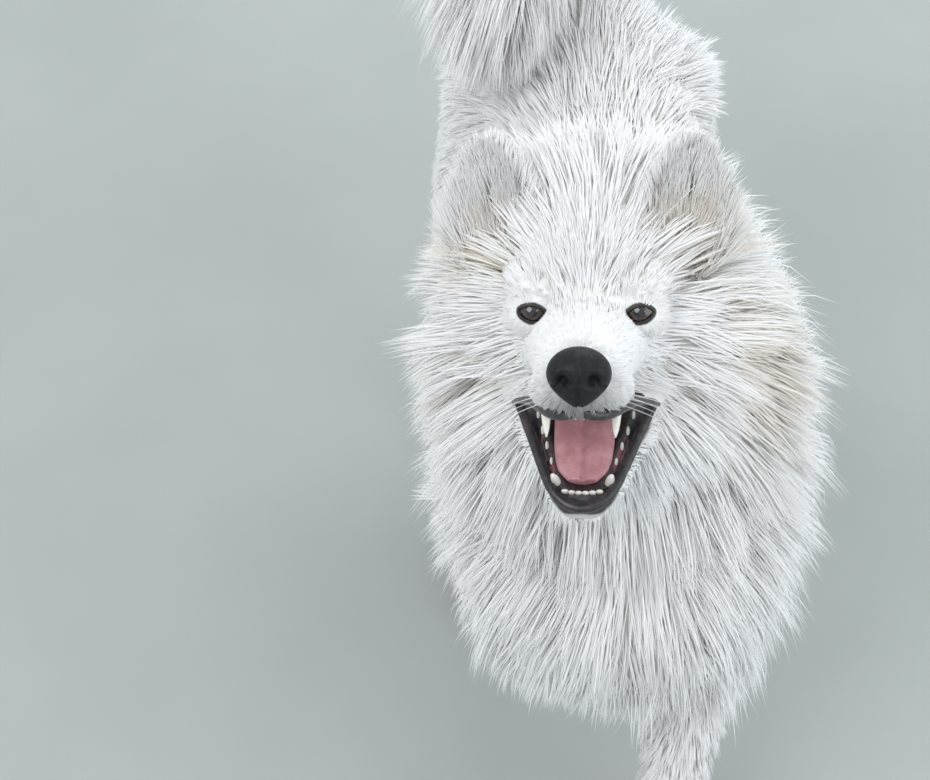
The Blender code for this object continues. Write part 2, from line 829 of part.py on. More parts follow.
DROOP = Vector((0, 0, -1))
PLUME_FALL = Vector((-0.15, 0, -0.25))
BODY_LIFT = 0.36
RUFF_LIFT = 0.42
HEAD_LIFT = 0.34
TAIL_LIFT = 0.26
TAIL_REACH = 0.085
TAIL_BEND = 0.8
LEG_LIFT = 0.34
THIGH_TURN = 100
FEATHER_TURN = 42


def height_of_spine(y):
    for (y0, z0, *_), (y1, z1, *_) in zip(TORSO, TORSO[1:]):
        if y0 <= y <= y1:
            return z0 + (z1 - z0) * (y - y0) / (y1 - y0)
    return TORSO[-1][1]


def body_locks(body, draw):
    backwards = Vector((0, 1, 0))
    upwards = Vector((0, 0, 1))
    rows = []
    for index, (y, count, length, width) in enumerate(TORSO_ROWS):
        centre = Vector((spine_shift(y), y, height_of_spine(y)))
        angles = [a + 180 / count * (index % 2) for a in spread(count)]
        rows.append((centre, backwards, upwards, angles, length, width, DROOP * 0.25, BODY_LIFT))
    for index, (centre, count, length, width) in enumerate(NECK_ROWS):
        angles = [a + 180 / count * (index % 2) for a in spread(count, 180, 540)]
        rows.append((Vector(centre), Vector((0, 0.3, -1)).normalized(), backwards, angles, length, width, DROOP * 0.35, RUFF_LIFT))
    return rows_of_locks("coat_lock", surface_of(body), rows, draw, coat_flow, DOG)


def head_flow(point, normal):
    """Away from the nose, and a little down."""
    nose = HEAD @ Vector((0, 0.08, -0.02))
    return (point - nose).normalized() + Vector((0, 0, -0.35))


def head_locks(head, draw):
    turn = HEAD.to_3x3()
    backwards = turn @ Vector((0, -1, 0))
    upwards = turn @ Vector((0, 0, 1))
    rows = []
    for centre, angles, length, width in HEAD_ROWS:
        rows.append((HEAD @ Vector(centre), backwards, upwards, angles, length, width, DROOP * 0.2, HEAD_LIFT))
    return rows_of_locks("head_lock", surface_of(head), rows, draw, head_flow, DOG)


def tail_locks(surface, first, last, draw):
    """The plume's locks on the stations from first to last, each bent as the tail bends ahead of it."""
    centres = [Vector(station[0]) for station in TAIL]

    def flow(point, normal):
        nearest = min(range(1, len(centres)), key=lambda i: (centres[i] - point).length)
        tangent = (centres[nearest] - centres[nearest - 1]).normalized()
        return tangent + PLUME_FALL

    length, width = TAIL_LOCK
    rows = []
    for index in range(first, last + 1):
        tangent = (centres[index + 1] - centres[index - 1]).normalized()
        angles = [a + 180 / TAIL_LOCKS * (index % 2) for a in spread(TAIL_LOCKS)]
        ahead = min(index + 2, len(centres) - 1)
        bend = ((centres[ahead] - centres[ahead - 1]).normalized() - tangent) * TAIL_BEND
        rows.append((centres[index], tangent, Vector((1, 0, 0)), angles, length, width, bend, TAIL_LIFT))
    return rows_of_locks("tail_lock", surface, rows, draw, flow, DOG, reach=TAIL_REACH)


def tail_lengths(share, draw):
    """The tail in three lengths, each with its own locks, and a seat's cutter for each."""
    root = tail_core(share)
    surface = surface_of(root)
    cuts = []
    for station in TAIL_CUTS:
        before = Vector(TAIL[station][0])
        after = Vector(TAIL[station + 1][0])
        cuts.append(((before + after) / 2, (after - before).normalized()))
    (low, low_axis), (high, high_axis) = cuts
    arch = copy_of(root, "arch")
    end = copy_of(root, "end")
    clip(root, low, -low_axis)
    clip(arch, low, low_axis)
    clip(arch, high, -high_axis)
    clip(end, high, high_axis)
    last = len(TAIL) - 2
    stations = ((2, TAIL_CUTS[0]), (TAIL_CUTS[0] + 1, TAIL_CUTS[1]), (TAIL_CUTS[1] + 1, last))
    lengths = {"tail_root": root, "tail_arch": arch, "tail_end": end}
    cutters = []
    for length, (first, final) in zip(lengths.values(), stations):
        own = grow_and_fuse(length, tail_locks(surface, first, final, draw))
        for cutter in cutters:
            boolean(length, "DIFFERENCE", cutter)
        keep_largest(length)
        cutters.append(own)
    return lengths, cutters


def leg_locks(name, limb, draw):
    """Breeches on the back of a thigh, or feathering on the back of a foreleg."""
    hind = name.startswith("hind")
    rows_of = BREECHES_ROWS if hind else FEATHER_ROWS
    turn = THIGH_TURN if hind else FEATHER_TURN
    stations = LEGS[name]
    rows = []
    for index, count, length, width in rows_of:
        above = Vector(stations[index][0])
        below = Vector(stations[index + 1][0])
        axis = (below - above).normalized()
        angles = spread(count, -turn, turn)
        rows.append(((above + below) / 2, axis, Vector((0, 1, 0)), angles, length, width, DROOP * 0.4, LEG_LIFT))
    return rows_of_locks("leg_lock", surface_of(limb), rows, draw, lambda p, n: Vector((0, 0.35, -1)), DOG)


# The whole dog, put together

def build():
    share = CORE_SHARE
    draw = random.Random(SEED)
    tongue = tongue_form()
    jaw = lower_jaw(tongue)
    nose = nose_leather()
    eyes = {side: eyeball(1 if side == "left" else -1) for side in ("left", "right")}
    ears = {side: ear(1 if side == "left" else -1) for side in ("left", "right")}
    tail, cutters = tail_lengths(share, draw)
    limbs = {name: leg(name, share) for name in LEGS}
    for name, (limb, _) in limbs.items():
        own = grow_and_fuse(limb, leg_locks(name, limb, draw))
        for cutter in cutters[:len(tail)]:
            boolean(limb, "DIFFERENCE", cutter)
        keep_largest(limb)
        cutters.append(own)
    body = body_core(share)
    head = head_core(share)
    locks = body_locks(body, draw) + head_locks(head, draw)
    face = [head, lids(-1), lids(1), tube("upper_lip", both_sides(UPPER_LIP), LIP_RADIUS, DOG, place=HEAD)]
    for side in (-1, 1):
        root = (side * 0.0225, 0.0600, -0.0400)
        tip = (side * 0.0215, 0.0640, -0.0660)
        face.append(cone("canine", root, tip, 0.0036, DOG, HEAD))
    fuse(body, face + locks)
    seat(body, jaw, tongue, nose, *eyes.values(), *ears.values())
    for cutter in cutters:
        boolean(body, "DIFFERENCE", cutter)
    remove(cutters)
    keep_largest(body)

    white = material("white_coat", (0.86, 0.84, 0.79), 0.85)
    black = material("black_skin", (0.02, 0.02, 0.022), 0.4)
    pink = material("tongue_skin", (0.62, 0.30, 0.33), 0.45)
    brown = material("eye_glass", (0.03, 0.015, 0.008), 0.08)

    neck_top = HEAD @ Vector((0, -0.100, -0.060))
    neck_axis = Vector((0.0, 0.42, -1.0)).normalized()
    shoulder = Vector((0, -0.020, 0.500))
    shoulder_axis = Vector((0.0, 0.80, -0.60)).normalized()
    torso = copy_of(body, "torso")
    neck = copy_of(body, "neck")
    clip(torso, shoulder, shoulder_axis)
    clip(neck, shoulder, -shoulder_axis)
    clip(neck, neck_top, neck_axis)
    clip(body, neck_top, -neck_axis)
    finish(body, "head", white)
    finish(neck, "neck", white)
    finish(torso, "torso", white)
    finish(jaw, "jaw", black)
    finish(tongue, "tongue", pink)
    finish(nose, "nose", black)
    for side in ("left", "right"):
        finish(eyes[side], "eye_" + side, brown)
        finish(ears[side], "ear_" + side, white)
    for name, length in tail.items():
        finish(length, name, white)
    for name, (limb, claws) in limbs.items():
        paw = copy_of(limb, "paw")
        cut = Vector((0, 0, PAW_CUT))
        clip(limb, cut, Vector((0, 0, 1)))
        clip(paw, cut, Vector((0, 0, -1)))
        fuse(paw, claws)
        finish(limb, name, white)
        finish(paw, name.replace("leg", "paw"), white)
    return centre_over_origin()


def centre_over_origin():
    """Moves the dog so that the middle of its box is over the origin, and says how far."""
    corners = [v.co for obj in DOG.objects for v in obj.data.vertices]
    middle_x = (min(c.x for c in corners) + max(c.x for c in corners)) / 2
    middle_y = (min(c.y for c in corners) + max(c.y for c in corners)) / 2
    shift = Vector((-middle_x, -middle_y, 0))
    for obj in DOG.objects:
        obj.data.transform(Matrix.Translation(shift))
    return shift


SHIFT = build()
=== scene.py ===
"""A samoyed with its head raised and its mouth open, dressed over its frame of solids."""

import math

import bmesh
import bpy
import numpy as np
from mathutils import Matrix, Vector


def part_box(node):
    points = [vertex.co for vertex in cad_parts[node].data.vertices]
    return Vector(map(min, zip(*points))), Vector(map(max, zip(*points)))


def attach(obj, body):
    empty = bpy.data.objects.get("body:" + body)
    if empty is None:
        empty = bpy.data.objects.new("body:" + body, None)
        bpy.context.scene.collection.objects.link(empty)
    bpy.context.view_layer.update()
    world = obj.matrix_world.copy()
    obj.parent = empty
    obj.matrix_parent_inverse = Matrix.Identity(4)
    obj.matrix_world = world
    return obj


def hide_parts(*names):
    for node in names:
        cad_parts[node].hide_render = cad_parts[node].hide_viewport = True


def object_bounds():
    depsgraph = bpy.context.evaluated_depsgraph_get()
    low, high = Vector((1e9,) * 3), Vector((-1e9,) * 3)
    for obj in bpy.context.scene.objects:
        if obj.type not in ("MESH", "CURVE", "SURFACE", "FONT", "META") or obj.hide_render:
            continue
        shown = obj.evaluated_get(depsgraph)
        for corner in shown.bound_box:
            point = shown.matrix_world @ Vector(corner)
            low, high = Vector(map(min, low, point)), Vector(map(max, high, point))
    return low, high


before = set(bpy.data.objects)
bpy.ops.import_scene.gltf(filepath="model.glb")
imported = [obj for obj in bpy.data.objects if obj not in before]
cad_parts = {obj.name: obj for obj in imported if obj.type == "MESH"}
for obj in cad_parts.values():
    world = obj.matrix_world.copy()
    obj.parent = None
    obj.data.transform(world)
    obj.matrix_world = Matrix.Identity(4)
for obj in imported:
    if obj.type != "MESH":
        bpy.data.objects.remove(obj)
cad_low, cad_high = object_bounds()
bpy.ops.object.select_all(action="DESELECT")


# The frame of solids stands for the whole dog, and every piece below is placed from it. The
# head keeps a frame of its own, hung on the two eyes: x is the dog's left, y runs out along
# the muzzle and z is up. The jaw's frame turns open at its hinge.
EYE_SIDE = 0.0350
EYE_DEPTH = -0.0085
EYE_MIDDLE = Vector((-0.042, -0.134, 0.706))
HEAD_RAISED = math.radians(39.8)
HEAD_TURNED = math.radians(-6.8)
HEAD_TILTED = math.radians(8.9)
JAW_HINGE = Vector((0, -0.045, -0.030))
JAW_OPEN = math.radians(-42)


def head_frame():
    """The matrix that takes the head's own coordinates to the dog's."""
    forward = Vector(
        (
            math.sin(HEAD_TURNED) * math.cos(HEAD_RAISED),
            -math.cos(HEAD_TURNED) * math.cos(HEAD_RAISED),
            math.sin(HEAD_RAISED),
        )
    )
    left = Vector((math.cos(HEAD_TURNED), math.sin(HEAD_TURNED), 0))
    up = left.cross(forward)
    if up.z < 0:
        up = -up
    across = left * math.cos(HEAD_TILTED) + up * math.sin(HEAD_TILTED)
    above = up * math.cos(HEAD_TILTED) - left * math.sin(HEAD_TILTED)
    turned = Matrix((across, forward, above)).transposed().to_4x4()
    return Matrix.Translation(EYE_MIDDLE) @ turned


def middle_of(node):
    """Middle of a solid's box."""
    low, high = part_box(node)
    return (low + high) / 2


eyes_at = (middle_of("eye_left") + middle_of("eye_right")) / 2
SHIFT = eyes_at - head_frame() @ Vector((0, EYE_DEPTH, 0))
SHIFT.z = 0
HEAD = Matrix.Translation(SHIFT) @ head_frame()
HEAD_TURN = np.array(HEAD.to_3x3())
JAW = HEAD @ Matrix.Translation(JAW_HINGE) @ Matrix.Rotation(JAW_OPEN, 4, "X")


# Flesh: the body under the coat, which the skin is stretched over. It is made of balls strung
# along the same lines as the solids, for the torso, neck, legs, tail and head. Each row ends
# in the depth of the coat that grows there.
TORSO = (
    (-0.140, 0.385, 0.050, 0.062, 0.045),
    (-0.090, 0.380, 0.090, 0.105, 0.056),
    (-0.020, 0.390, 0.106, 0.128, 0.062),
    (0.080, 0.402, 0.104, 0.120, 0.058),
    (0.180, 0.420, 0.090, 0.102, 0.045),
    (0.270, 0.434, 0.077, 0.088, 0.042),
    (0.350, 0.440, 0.078, 0.084, 0.042),
    (0.415, 0.438, 0.062, 0.072, 0.042),
    (0.450, 0.436, 0.036, 0.048, 0.042),
)
SPINE_BEND = 0.23
CHEST_SHIFT = 0.007
NECK = (
    (0.000, -0.010, 0.430, 0.090, 0.100, 0.050),
    (-0.010, -0.040, 0.510, 0.080, 0.088, 0.062),
    (-0.024, -0.062, 0.580, 0.072, 0.078, 0.070),
    (-0.034, -0.070, 0.640, 0.064, 0.070, 0.066),
    (-0.039, -0.090, 0.690, 0.030, 0.036, 0.030),
)
CHEST = (0.006, -0.106, 0.345, 0.085, 0.060, 0.095, 0.045)
LEGS = {
    "foreleg_left": (
        (0.080, -0.062, 0.330, 0.040, 0.050, 0.016),
        (0.087, -0.092, 0.270, 0.031, 0.038, 0.016),
        (0.089, -0.128, 0.205, 0.024, 0.028, 0.014),
        (0.088, -0.160, 0.145, 0.020, 0.022, 0.011),
        (0.087, -0.184, 0.095, 0.0205, 0.021, 0.009),
        (0.087, -0.200, 0.045, 0.021, 0.022, 0.007),
    ),
    "foreleg_right": (
        (-0.080, -0.030, 0.330, 0.040, 0.050, 0.016),
        (-0.084, -0.006, 0.270, 0.031, 0.038, 0.016),
        (-0.082, 0.032, 0.205, 0.024, 0.028, 0.014),
        (-0.079, 0.070, 0.145, 0.020, 0.022, 0.011),
        (-0.077, 0.096, 0.095, 0.0205, 0.021, 0.009),
        (-0.076, 0.096, 0.045, 0.021, 0.022, 0.007),
    ),
    "hindleg_left": (
        (0.030, 0.350, 0.430, 0.044, 0.068, 0.026),
        (0.040, 0.335, 0.340, 0.043, 0.062, 0.024),
        (0.042, 0.332, 0.270, 0.034, 0.044, 0.022),
        (0.040, 0.395, 0.200, 0.023, 0.028, 0.016),
        (0.037, 0.452, 0.150, 0.018, 0.022, 0.012),
        (0.037, 0.444, 0.095, 0.018, 0.019, 0.009),
        (0.037, 0.440, 0.045, 0.020, 0.021, 0.007),
    ),
    "hindleg_right": (
        (-0.100, 0.330, 0.430, 0.044, 0.068, 0.026),
        (-0.108, 0.300, 0.340, 0.043, 0.062, 0.024),
        (-0.110, 0.266, 0.270, 0.034, 0.044, 0.022),
        (-0.108, 0.305, 0.200, 0.023, 0.028, 0.016),
        (-0.106, 0.332, 0.150, 0.018, 0.022, 0.012),
        (-0.106, 0.300, 0.095, 0.018, 0.019, 0.009),
        (-0.106, 0.282, 0.045, 0.020, 0.021, 0.007),
    ),
}
TOES = ((-0.0270, -0.020), (-0.0095, -0.034), (0.0095, -0.034), (0.0270, -0.020))
TAIL = (
    (-0.062, 0.430, 0.500, 0.024, 0.020),
    (-0.063, 0.474, 0.560, 0.022, 0.034),
    (-0.064, 0.482, 0.620, 0.020, 0.046),
    (-0.068, 0.450, 0.672, 0.018, 0.056),
    (-0.080, 0.395, 0.690, 0.016, 0.062),
    (-0.098, 0.340, 0.668, 0.014, 0.062),
    (-0.112, 0.302, 0.622, 0.012, 0.056),
    (-0.120, 0.284, 0.575, 0.010, 0.040),
    (-0.124, 0.278, 0.545, 0.008, 0.016),
)
HEAD_FORMS = (
    (0, -0.072, 0.000, 0.064, 0.062, 0.054, 0.016),
    (0, -0.032, 0.006, 0.044, 0.034, 0.034, 0.010),
    (0.046, -0.086, -0.034, 0.034, 0.040, 0.044, 0.034),
    (-0.046, -0.086, -0.034, 0.034, 0.040, 0.044, 0.034),
    (0.030, -0.018, 0.013, 0.020, 0.018, 0.012, 0.005),
    (-0.030, -0.018, 0.013, 0.020, 0.018, 0.012, 0.005),
    (0, -0.075, -0.060, 0.060, 0.060, 0.050, 0.040),
    (0.0165, 0.056, -0.036, 0.0145, 0.028, 0.0125, 0.003),
    (-0.0165, 0.056, -0.036, 0.0145, 0.028, 0.0125, 0.003),
    (0, 0.079, -0.033, 0.0185, 0.0095, 0.0155, 0.003),
)
MUZZLE = (
    (0, -0.030, -0.020, 0.041, 0.031),
    (0, 0.018, -0.022, 0.035, 0.026),
    (0, 0.045, -0.025, 0.0295, 0.0215),
    (0, 0.062, -0.0275, 0.0255, 0.0195),
    (0, 0.073, -0.0300, 0.0195, 0.0165),
)
MUZZLE_COAT = 0.003
TOE_SIZE = (0.0120, 0.0210, 0.0155)
FOOT_SIZE = (0.030, 0.038, 0.021)
PAW_COAT = 0.007
UPRIGHT = np.eye(3)


def unit(rows):
    """Each row of an array at length 1."""
    rows = np.asarray(rows, float)
    return rows / np.maximum(np.linalg.norm(rows, axis=-1, keepdims=True), 1e-9)


def moved(place, rows):
    """Rows of points taken through a matrix."""
    m = np.array(place)
    return np.asarray(rows, float) @ m[:3, :3].T + m[:3, 3]


def filled(stations, per=8):
    """More rows between the rows of numbers, on a smooth curve through them."""
    rows = np.array(stations, float)
    ends = np.vstack([2 * rows[0] - rows[1], rows, 2 * rows[-1] - rows[-2]])
    out = []
    for k in range(len(rows) - 1):
        a, b, c, d = ends[k : k + 4]
        for t in np.arange(per) / per:
            curve = 2 * b + (c - a) * t + (2 * a - 5 * b + 4 * c - d) * t * t
            out.append((curve + (3 * b - a - 3 * c + d) * t**3) / 2)
    out.append(rows[-1])
    return np.array(out)


class Form:
    """Balls along a line: middles, radii, depth of coat, and the way the line runs."""

    def __init__(self, name, middles, radii, coat, turn=UPRIGHT):
        self.name = name
        self.middles = np.asarray(middles, float)
        self.radii = np.asarray(radii, float)
        self.coat = np.asarray(coat, float)
        self.turn = turn
        if len(self.middles) > 1:
            self.along = unit(np.gradient(self.middles, axis=0))
        else:
            self.along = np.zeros((1, 3))

    def reach(self, points):
        """How far each point is from the nearest ball, and which ball that is."""
        out = np.zeros(len(points))
        which = np.zeros(len(points), int)
        for start in range(0, len(points), 20000):
            rows = points[start : start + 20000]
            local = (rows[:, None] - self.middles[None]) @ self.turn / self.radii[None]
            far = (np.linalg.norm(local, axis=2) - 1) * self.radii.mean(1)[None]
            which[start : start + 20000] = far.argmin(1)
            out[start : start + 20000] = far.min(1)
        return out, which


def shifted(rows):
    """Rows of points moved with the eyes to where the solids have them."""
    return np.asarray(rows, float) + np.array(SHIFT)


def spine_x(y):
    """How far aside the bent spine lies at each y."""
    return CHEST_SHIFT - SPINE_BEND * np.maximum(y + 0.1, 0) ** 2


def limb(name, stations):
    """Balls along rows of place, width, depth and coat."""
    rows = filled(stations)
    radii = np.stack([rows[:, 3], rows[:, 4], rows[:, 3:5].min(1)], 1)
    return Form(name, shifted(rows[:, :3]), radii, rows[:, 5])


def paw(name, foot):
    """Four toes and the ball of a foot, standing on the floor."""
    middles = [foot + (x, y - 0.010, 0.0175 - foot[2]) for x, y in TOES]
    middles.append((foot[0], foot[1] - 0.012, 0.024))
    return Form(name, shifted(middles), [TOE_SIZE] * 4 + [FOOT_SIZE], [PAW_COAT] * 5)


def body_forms():
    """Every form of the flesh."""
    rows = filled(TORSO)
    middles = np.stack([spine_x(rows[:, 0]), rows[:, 0], rows[:, 1]], 1)
    thick = np.minimum(rows[:, 2], rows[:, 3]) * 0.8
    radii = np.stack([rows[:, 2], thick, rows[:, 3]], 1)
    forms = [Form("torso", shifted(middles), radii, rows[:, 4])]
    rows = np.array([CHEST])
    forms.append(Form("chest", shifted(rows[:, :3]), rows[:, 3:6], rows[:, 6]))
    forms.append(limb("neck", NECK))
    for name, stations in LEGS.items():
        forms.append(limb(name, stations))
        forms.append(paw(name.replace("leg", "paw"), np.array(stations[-1][:3])))
    rows = filled(TAIL)
    forms.append(Form("tail", shifted(rows[:, :3]), rows[:, [3, 3, 3]], rows[:, 4]))
    rows = np.array(HEAD_FORMS)
    forms.append(Form("head", moved(HEAD, rows[:, :3]), rows[:, 3:6], rows[:, 6], HEAD_TURN))
    rows = filled(MUZZLE)
    radii = np.stack([rows[:, 3], rows[:, 3:5].min(1) * 0.8, rows[:, 4]], 1)
    coat = np.full(len(rows), MUZZLE_COAT)
    forms.append(Form("muzzle", moved(HEAD, rows[:, :3]), radii, coat, HEAD_TURN))
    return forms


FORMS = body_forms()


# Skin: one closed hide over the whole body, remeshed so that no seam shows, with the mouth and
# the eyes cut into it. The coat hides most of it, and lips, lids and nose cover its cuts.
SKIN_SHARE = 0.22
SKIN_VOXEL = 0.0039
SOCKET_RADIUS = 0.0113
MOUTH = (
    (0, -0.030, -0.058, 0.020, 0.008),
    (0, 0.002, -0.066, 0.040, 0.016),
    (0, 0.016, -0.075, 0.060, 0.0265),
    (0, 0.070, -0.092, 0.070, 0.0430),
    (0, 0.130, -0.110, 0.080, 0.0600),
)
MOUTH_ENDS = (-0.034, 0.078, -0.105)


def mesh_object(name, points, faces):
    """An object at the origin from arrays: points, and faces all of one number of corners."""
    faces = np.asarray(faces, np.int32)
    mesh = bpy.data.meshes.new(name)
    mesh.vertices.add(len(points))
    mesh.vertices.foreach_set("co", np.asarray(points, np.float32).ravel())
    mesh.loops.add(faces.size)
    mesh.loops.foreach_set("vertex_index", faces.ravel())
    mesh.polygons.add(len(faces))
    starts = np.arange(len(faces), dtype=np.int32) * faces.shape[1]
    mesh.polygons.foreach_set("loop_start", starts)
    mesh.update(calc_edges=True)
    mesh.validate()
    mesh.shade_smooth()
    made = bpy.data.objects.new(name, mesh)
    bpy.context.scene.collection.objects.link(made)
    return made


def points_of(obj):
    """Points of a mesh, as rows."""
    rows = np.zeros(len(obj.data.vertices) * 3, np.float32)
    obj.data.vertices.foreach_get("co", rows)
    return rows.reshape(-1, 3).astype(float)


def apply(obj, kind, **settings):
    """Adds a modifier with these settings and applies it."""
    modifier = obj.modifiers.new(kind.lower(), kind)
    for key, value in settings.items():
        setattr(modifier, key, value)
    bpy.context.view_layer.objects.active = obj
    bpy.ops.object.modifier_apply(modifier=modifier.name)


def discard(obj):
    """Removes an object that has done its work."""
    bpy.data.objects.remove(obj, do_unlink=True)


def face_out(obj):
    """Turns every face of a closed mesh outward."""
    bm = bmesh.new()
    bm.from_mesh(obj.data)
    bmesh.ops.recalc_face_normals(bm, faces=bm.faces)
    bm.to_mesh(obj.data)
    bm.free()
    obj.data.shade_smooth()


def round_ball():
    """Points and faces of one round ball, taken from a primitive."""
    bpy.ops.mesh.primitive_ico_sphere_add(subdivisions=3, radius=1)
    made = bpy.context.object
    points = points_of(made)
    faces = np.array([face.vertices for face in made.data.polygons])
    discard(made)
    return points, faces


BALL_POINTS, BALL_FACES = round_ball()


def tube(name, rings, ends, place):
    """A closed form through rings of points, with a middle point at each end."""
    count, sides = rings.shape[:2]
    rows = np.vstack([rings.reshape(-1, 3), ends])
    last = (count - 1) * sides
    faces = []
    for k in range(sides):
        j = (k + 1) % sides
        for row in range(0, last, sides):
            faces.append((row + k, row + k + sides, row + j + sides))
            faces.append((row + k, row + j + sides, row + j))
        faces.append((len(rows) - 2, k, j))
        faces.append((len(rows) - 1, last + j, last + k))
    made = mesh_object(name, moved(place, rows), faces)
    face_out(made)
    return made


def wedge(name, stations, place, sides=24):
    """A closed form through oval sections, each across y."""
    rows = filled(stations, 4)
    turn = np.arange(sides) * 2 * math.pi / sides
    rings = []
    for x, y, z, wide, high in rows:
        oval = [x + wide * np.cos(turn), np.full(sides, y), z + high * np.sin(turn)]
        rings.append(np.stack(oval, 1))
    return tube(name, np.array(rings), rows[[0, -1], :3], place)


def cut(obj, tool, operation="DIFFERENCE"):
    """Takes a tool out of a form, or melts it in, and discards the tool."""
    apply(obj, "BOOLEAN", operation=operation, object=tool, solver="MANIFOLD")
    discard(tool)


def make_skin():
    """The skin, remeshed from the balls of every form."""
    points, faces = [], []
    for form in FORMS:
        for middle, radii, coat in zip(form.middles, form.radii, form.coat):
            grown = BALL_POINTS * (radii + coat * SKIN_SHARE)
            faces.append(BALL_FACES + len(points) * len(BALL_POINTS))
            points.append(grown @ form.turn.T + middle)
    skin = mesh_object("skin", np.vstack(points), np.vstack(faces))
    apply(skin, "REMESH", mode="VOXEL", voxel_size=SKIN_VOXEL, adaptivity=0.0)
    apply(skin, "SMOOTH", factor=0.5, iterations=7)
    cut(skin, wedge("mouth_tool", MOUTH, HEAD))
    for side in (-1, 1):
        where = HEAD @ Vector((side * EYE_SIDE, EYE_DEPTH + 0.002, 0))
        cut(skin, mesh_object("socket", BALL_POINTS * SOCKET_RADIUS + np.array(where), BALL_FACES))
    skin.data.shade_smooth()
    return skin


def local_head(points):
    """Points in the head's own frame."""
    return moved(HEAD.inverted(), points)


def in_mouth(points, grow=1.05):
    """Which points lie on the lining of the mouth."""
    rows = filled(MOUTH, 4)
    local = local_head(points)
    x, y, z = local.T
    middle = np.interp(y, rows[:, 1], rows[:, 2])
    wide = np.interp(y, rows[:, 1], rows[:, 3]) * grow
    high = np.interp(y, rows[:, 1], rows[:, 4]) * grow
    inside = (x / wide) ** 2 + ((z - middle) / high) ** 2 < 1
    back, front, bottom = MOUTH_ENDS
    return inside & (y > back) & (y < front) & (z > bottom)


def unwrap(obj):
    """Unfolds a mesh into its map, which the coat's roots then share."""
    bpy.ops.object.select_all(action="DESELECT")
    obj.select_set(True)
    bpy.context.view_layer.objects.active = obj
    obj.data.uv_layers.new(name="OFBake")
    bpy.ops.object.mode_set(mode="EDIT")
    bpy.ops.mesh.select_all(action="SELECT")
    bpy.ops.uv.smart_project(angle_limit=math.radians(66), island_margin=0.002)
    bpy.ops.object.mode_set(mode="OBJECT")
    bpy.ops.object.select_all(action="DESELECT")


skin = make_skin()
unwrap(skin)


# Markings: the coat is white, cream at the ear bases, down the dog's left ruff and on the feet,
# with grey short hair under the nose. Skin and coat take them from one function, and their
# materials from the numbers that it gives each point.
CREAM = (0.74, 0.63, 0.49, 1.0)
GREY = (0.13, 0.125, 0.125, 1.0)
CREAM_SPOTS = (
    (0.65, (0.062, -0.050, 0.030), (0.020, 0.022, 0.022)),
    (0.65, (-0.062, -0.050, 0.030), (0.020, 0.022, 0.022)),
    (0.75, (0.105, -0.085, -0.055), (0.040, 0.055, 0.060)),
    (0.40, (-0.090, -0.075, -0.060), (0.030, 0.050, 0.040)),
)
GREY_SPOTS = (
    (1.20, (0, 0.078, -0.039), (0.021, 0.019, 0.015)),
    (0.35, (0, 0.074, -0.004), (0.016, 0.012, 0.010)),
)
CREAM_FEET = 0.060


def near(points, middle, size):
    """1 at a middle, falling to 0 at about twice the size."""
    far = np.linalg.norm((points - np.asarray(middle)) / np.asarray(size), axis=1)
    return np.exp(-(far**2))


def markings(points):
    """How cream and how grey the coat is at each point."""
    local = local_head(points)
    cream = 0.45 * np.clip((CREAM_FEET - points[:, 2]) / 0.05, 0, 1)
    grey = np.zeros(len(points))
    for most, middle, size in CREAM_SPOTS:
        cream = np.maximum(cream, most * near(local, middle, size))
    for most, middle, size in GREY_SPOTS:
        grey = np.maximum(grey, most * near(local, middle, size))
    return cream, np.clip(grey, 0, 1)


def attribute(obj, name, values):
    """Stores one number for each point of a mesh."""
    layer = obj.data.attributes.new(name, "FLOAT", "POINT")
    layer.data.foreach_set("value", np.asarray(values, np.float32))


class Value:
    """A socket of one material that takes arithmetic."""

    def __init__(self, paint, socket):
        self.paint = paint
        self.socket = socket

    def __add__(self, other):
        return self.paint.node("Math", {"operation": "ADD"}, self, other)

    def __sub__(self, other):
        return self.paint.node("Math", {"operation": "SUBTRACT"}, self, other)

    def __rsub__(self, other):
        return self.paint.node("Math", {"operation": "SUBTRACT"}, other, self)

    def __mul__(self, other):
        return self.paint.node("Math", {"operation": "MULTIPLY"}, self, other)

    __radd__ = __add__
    __rmul__ = __mul__

    def step(self, low, high):
        """From 0 to 1, smoothly, as the value goes from low to high."""
        settings = {"interpolation_type": "SMOOTHSTEP"}
        return self.paint.node("MapRange", settings, self, low, high, 0.0, 1.0)


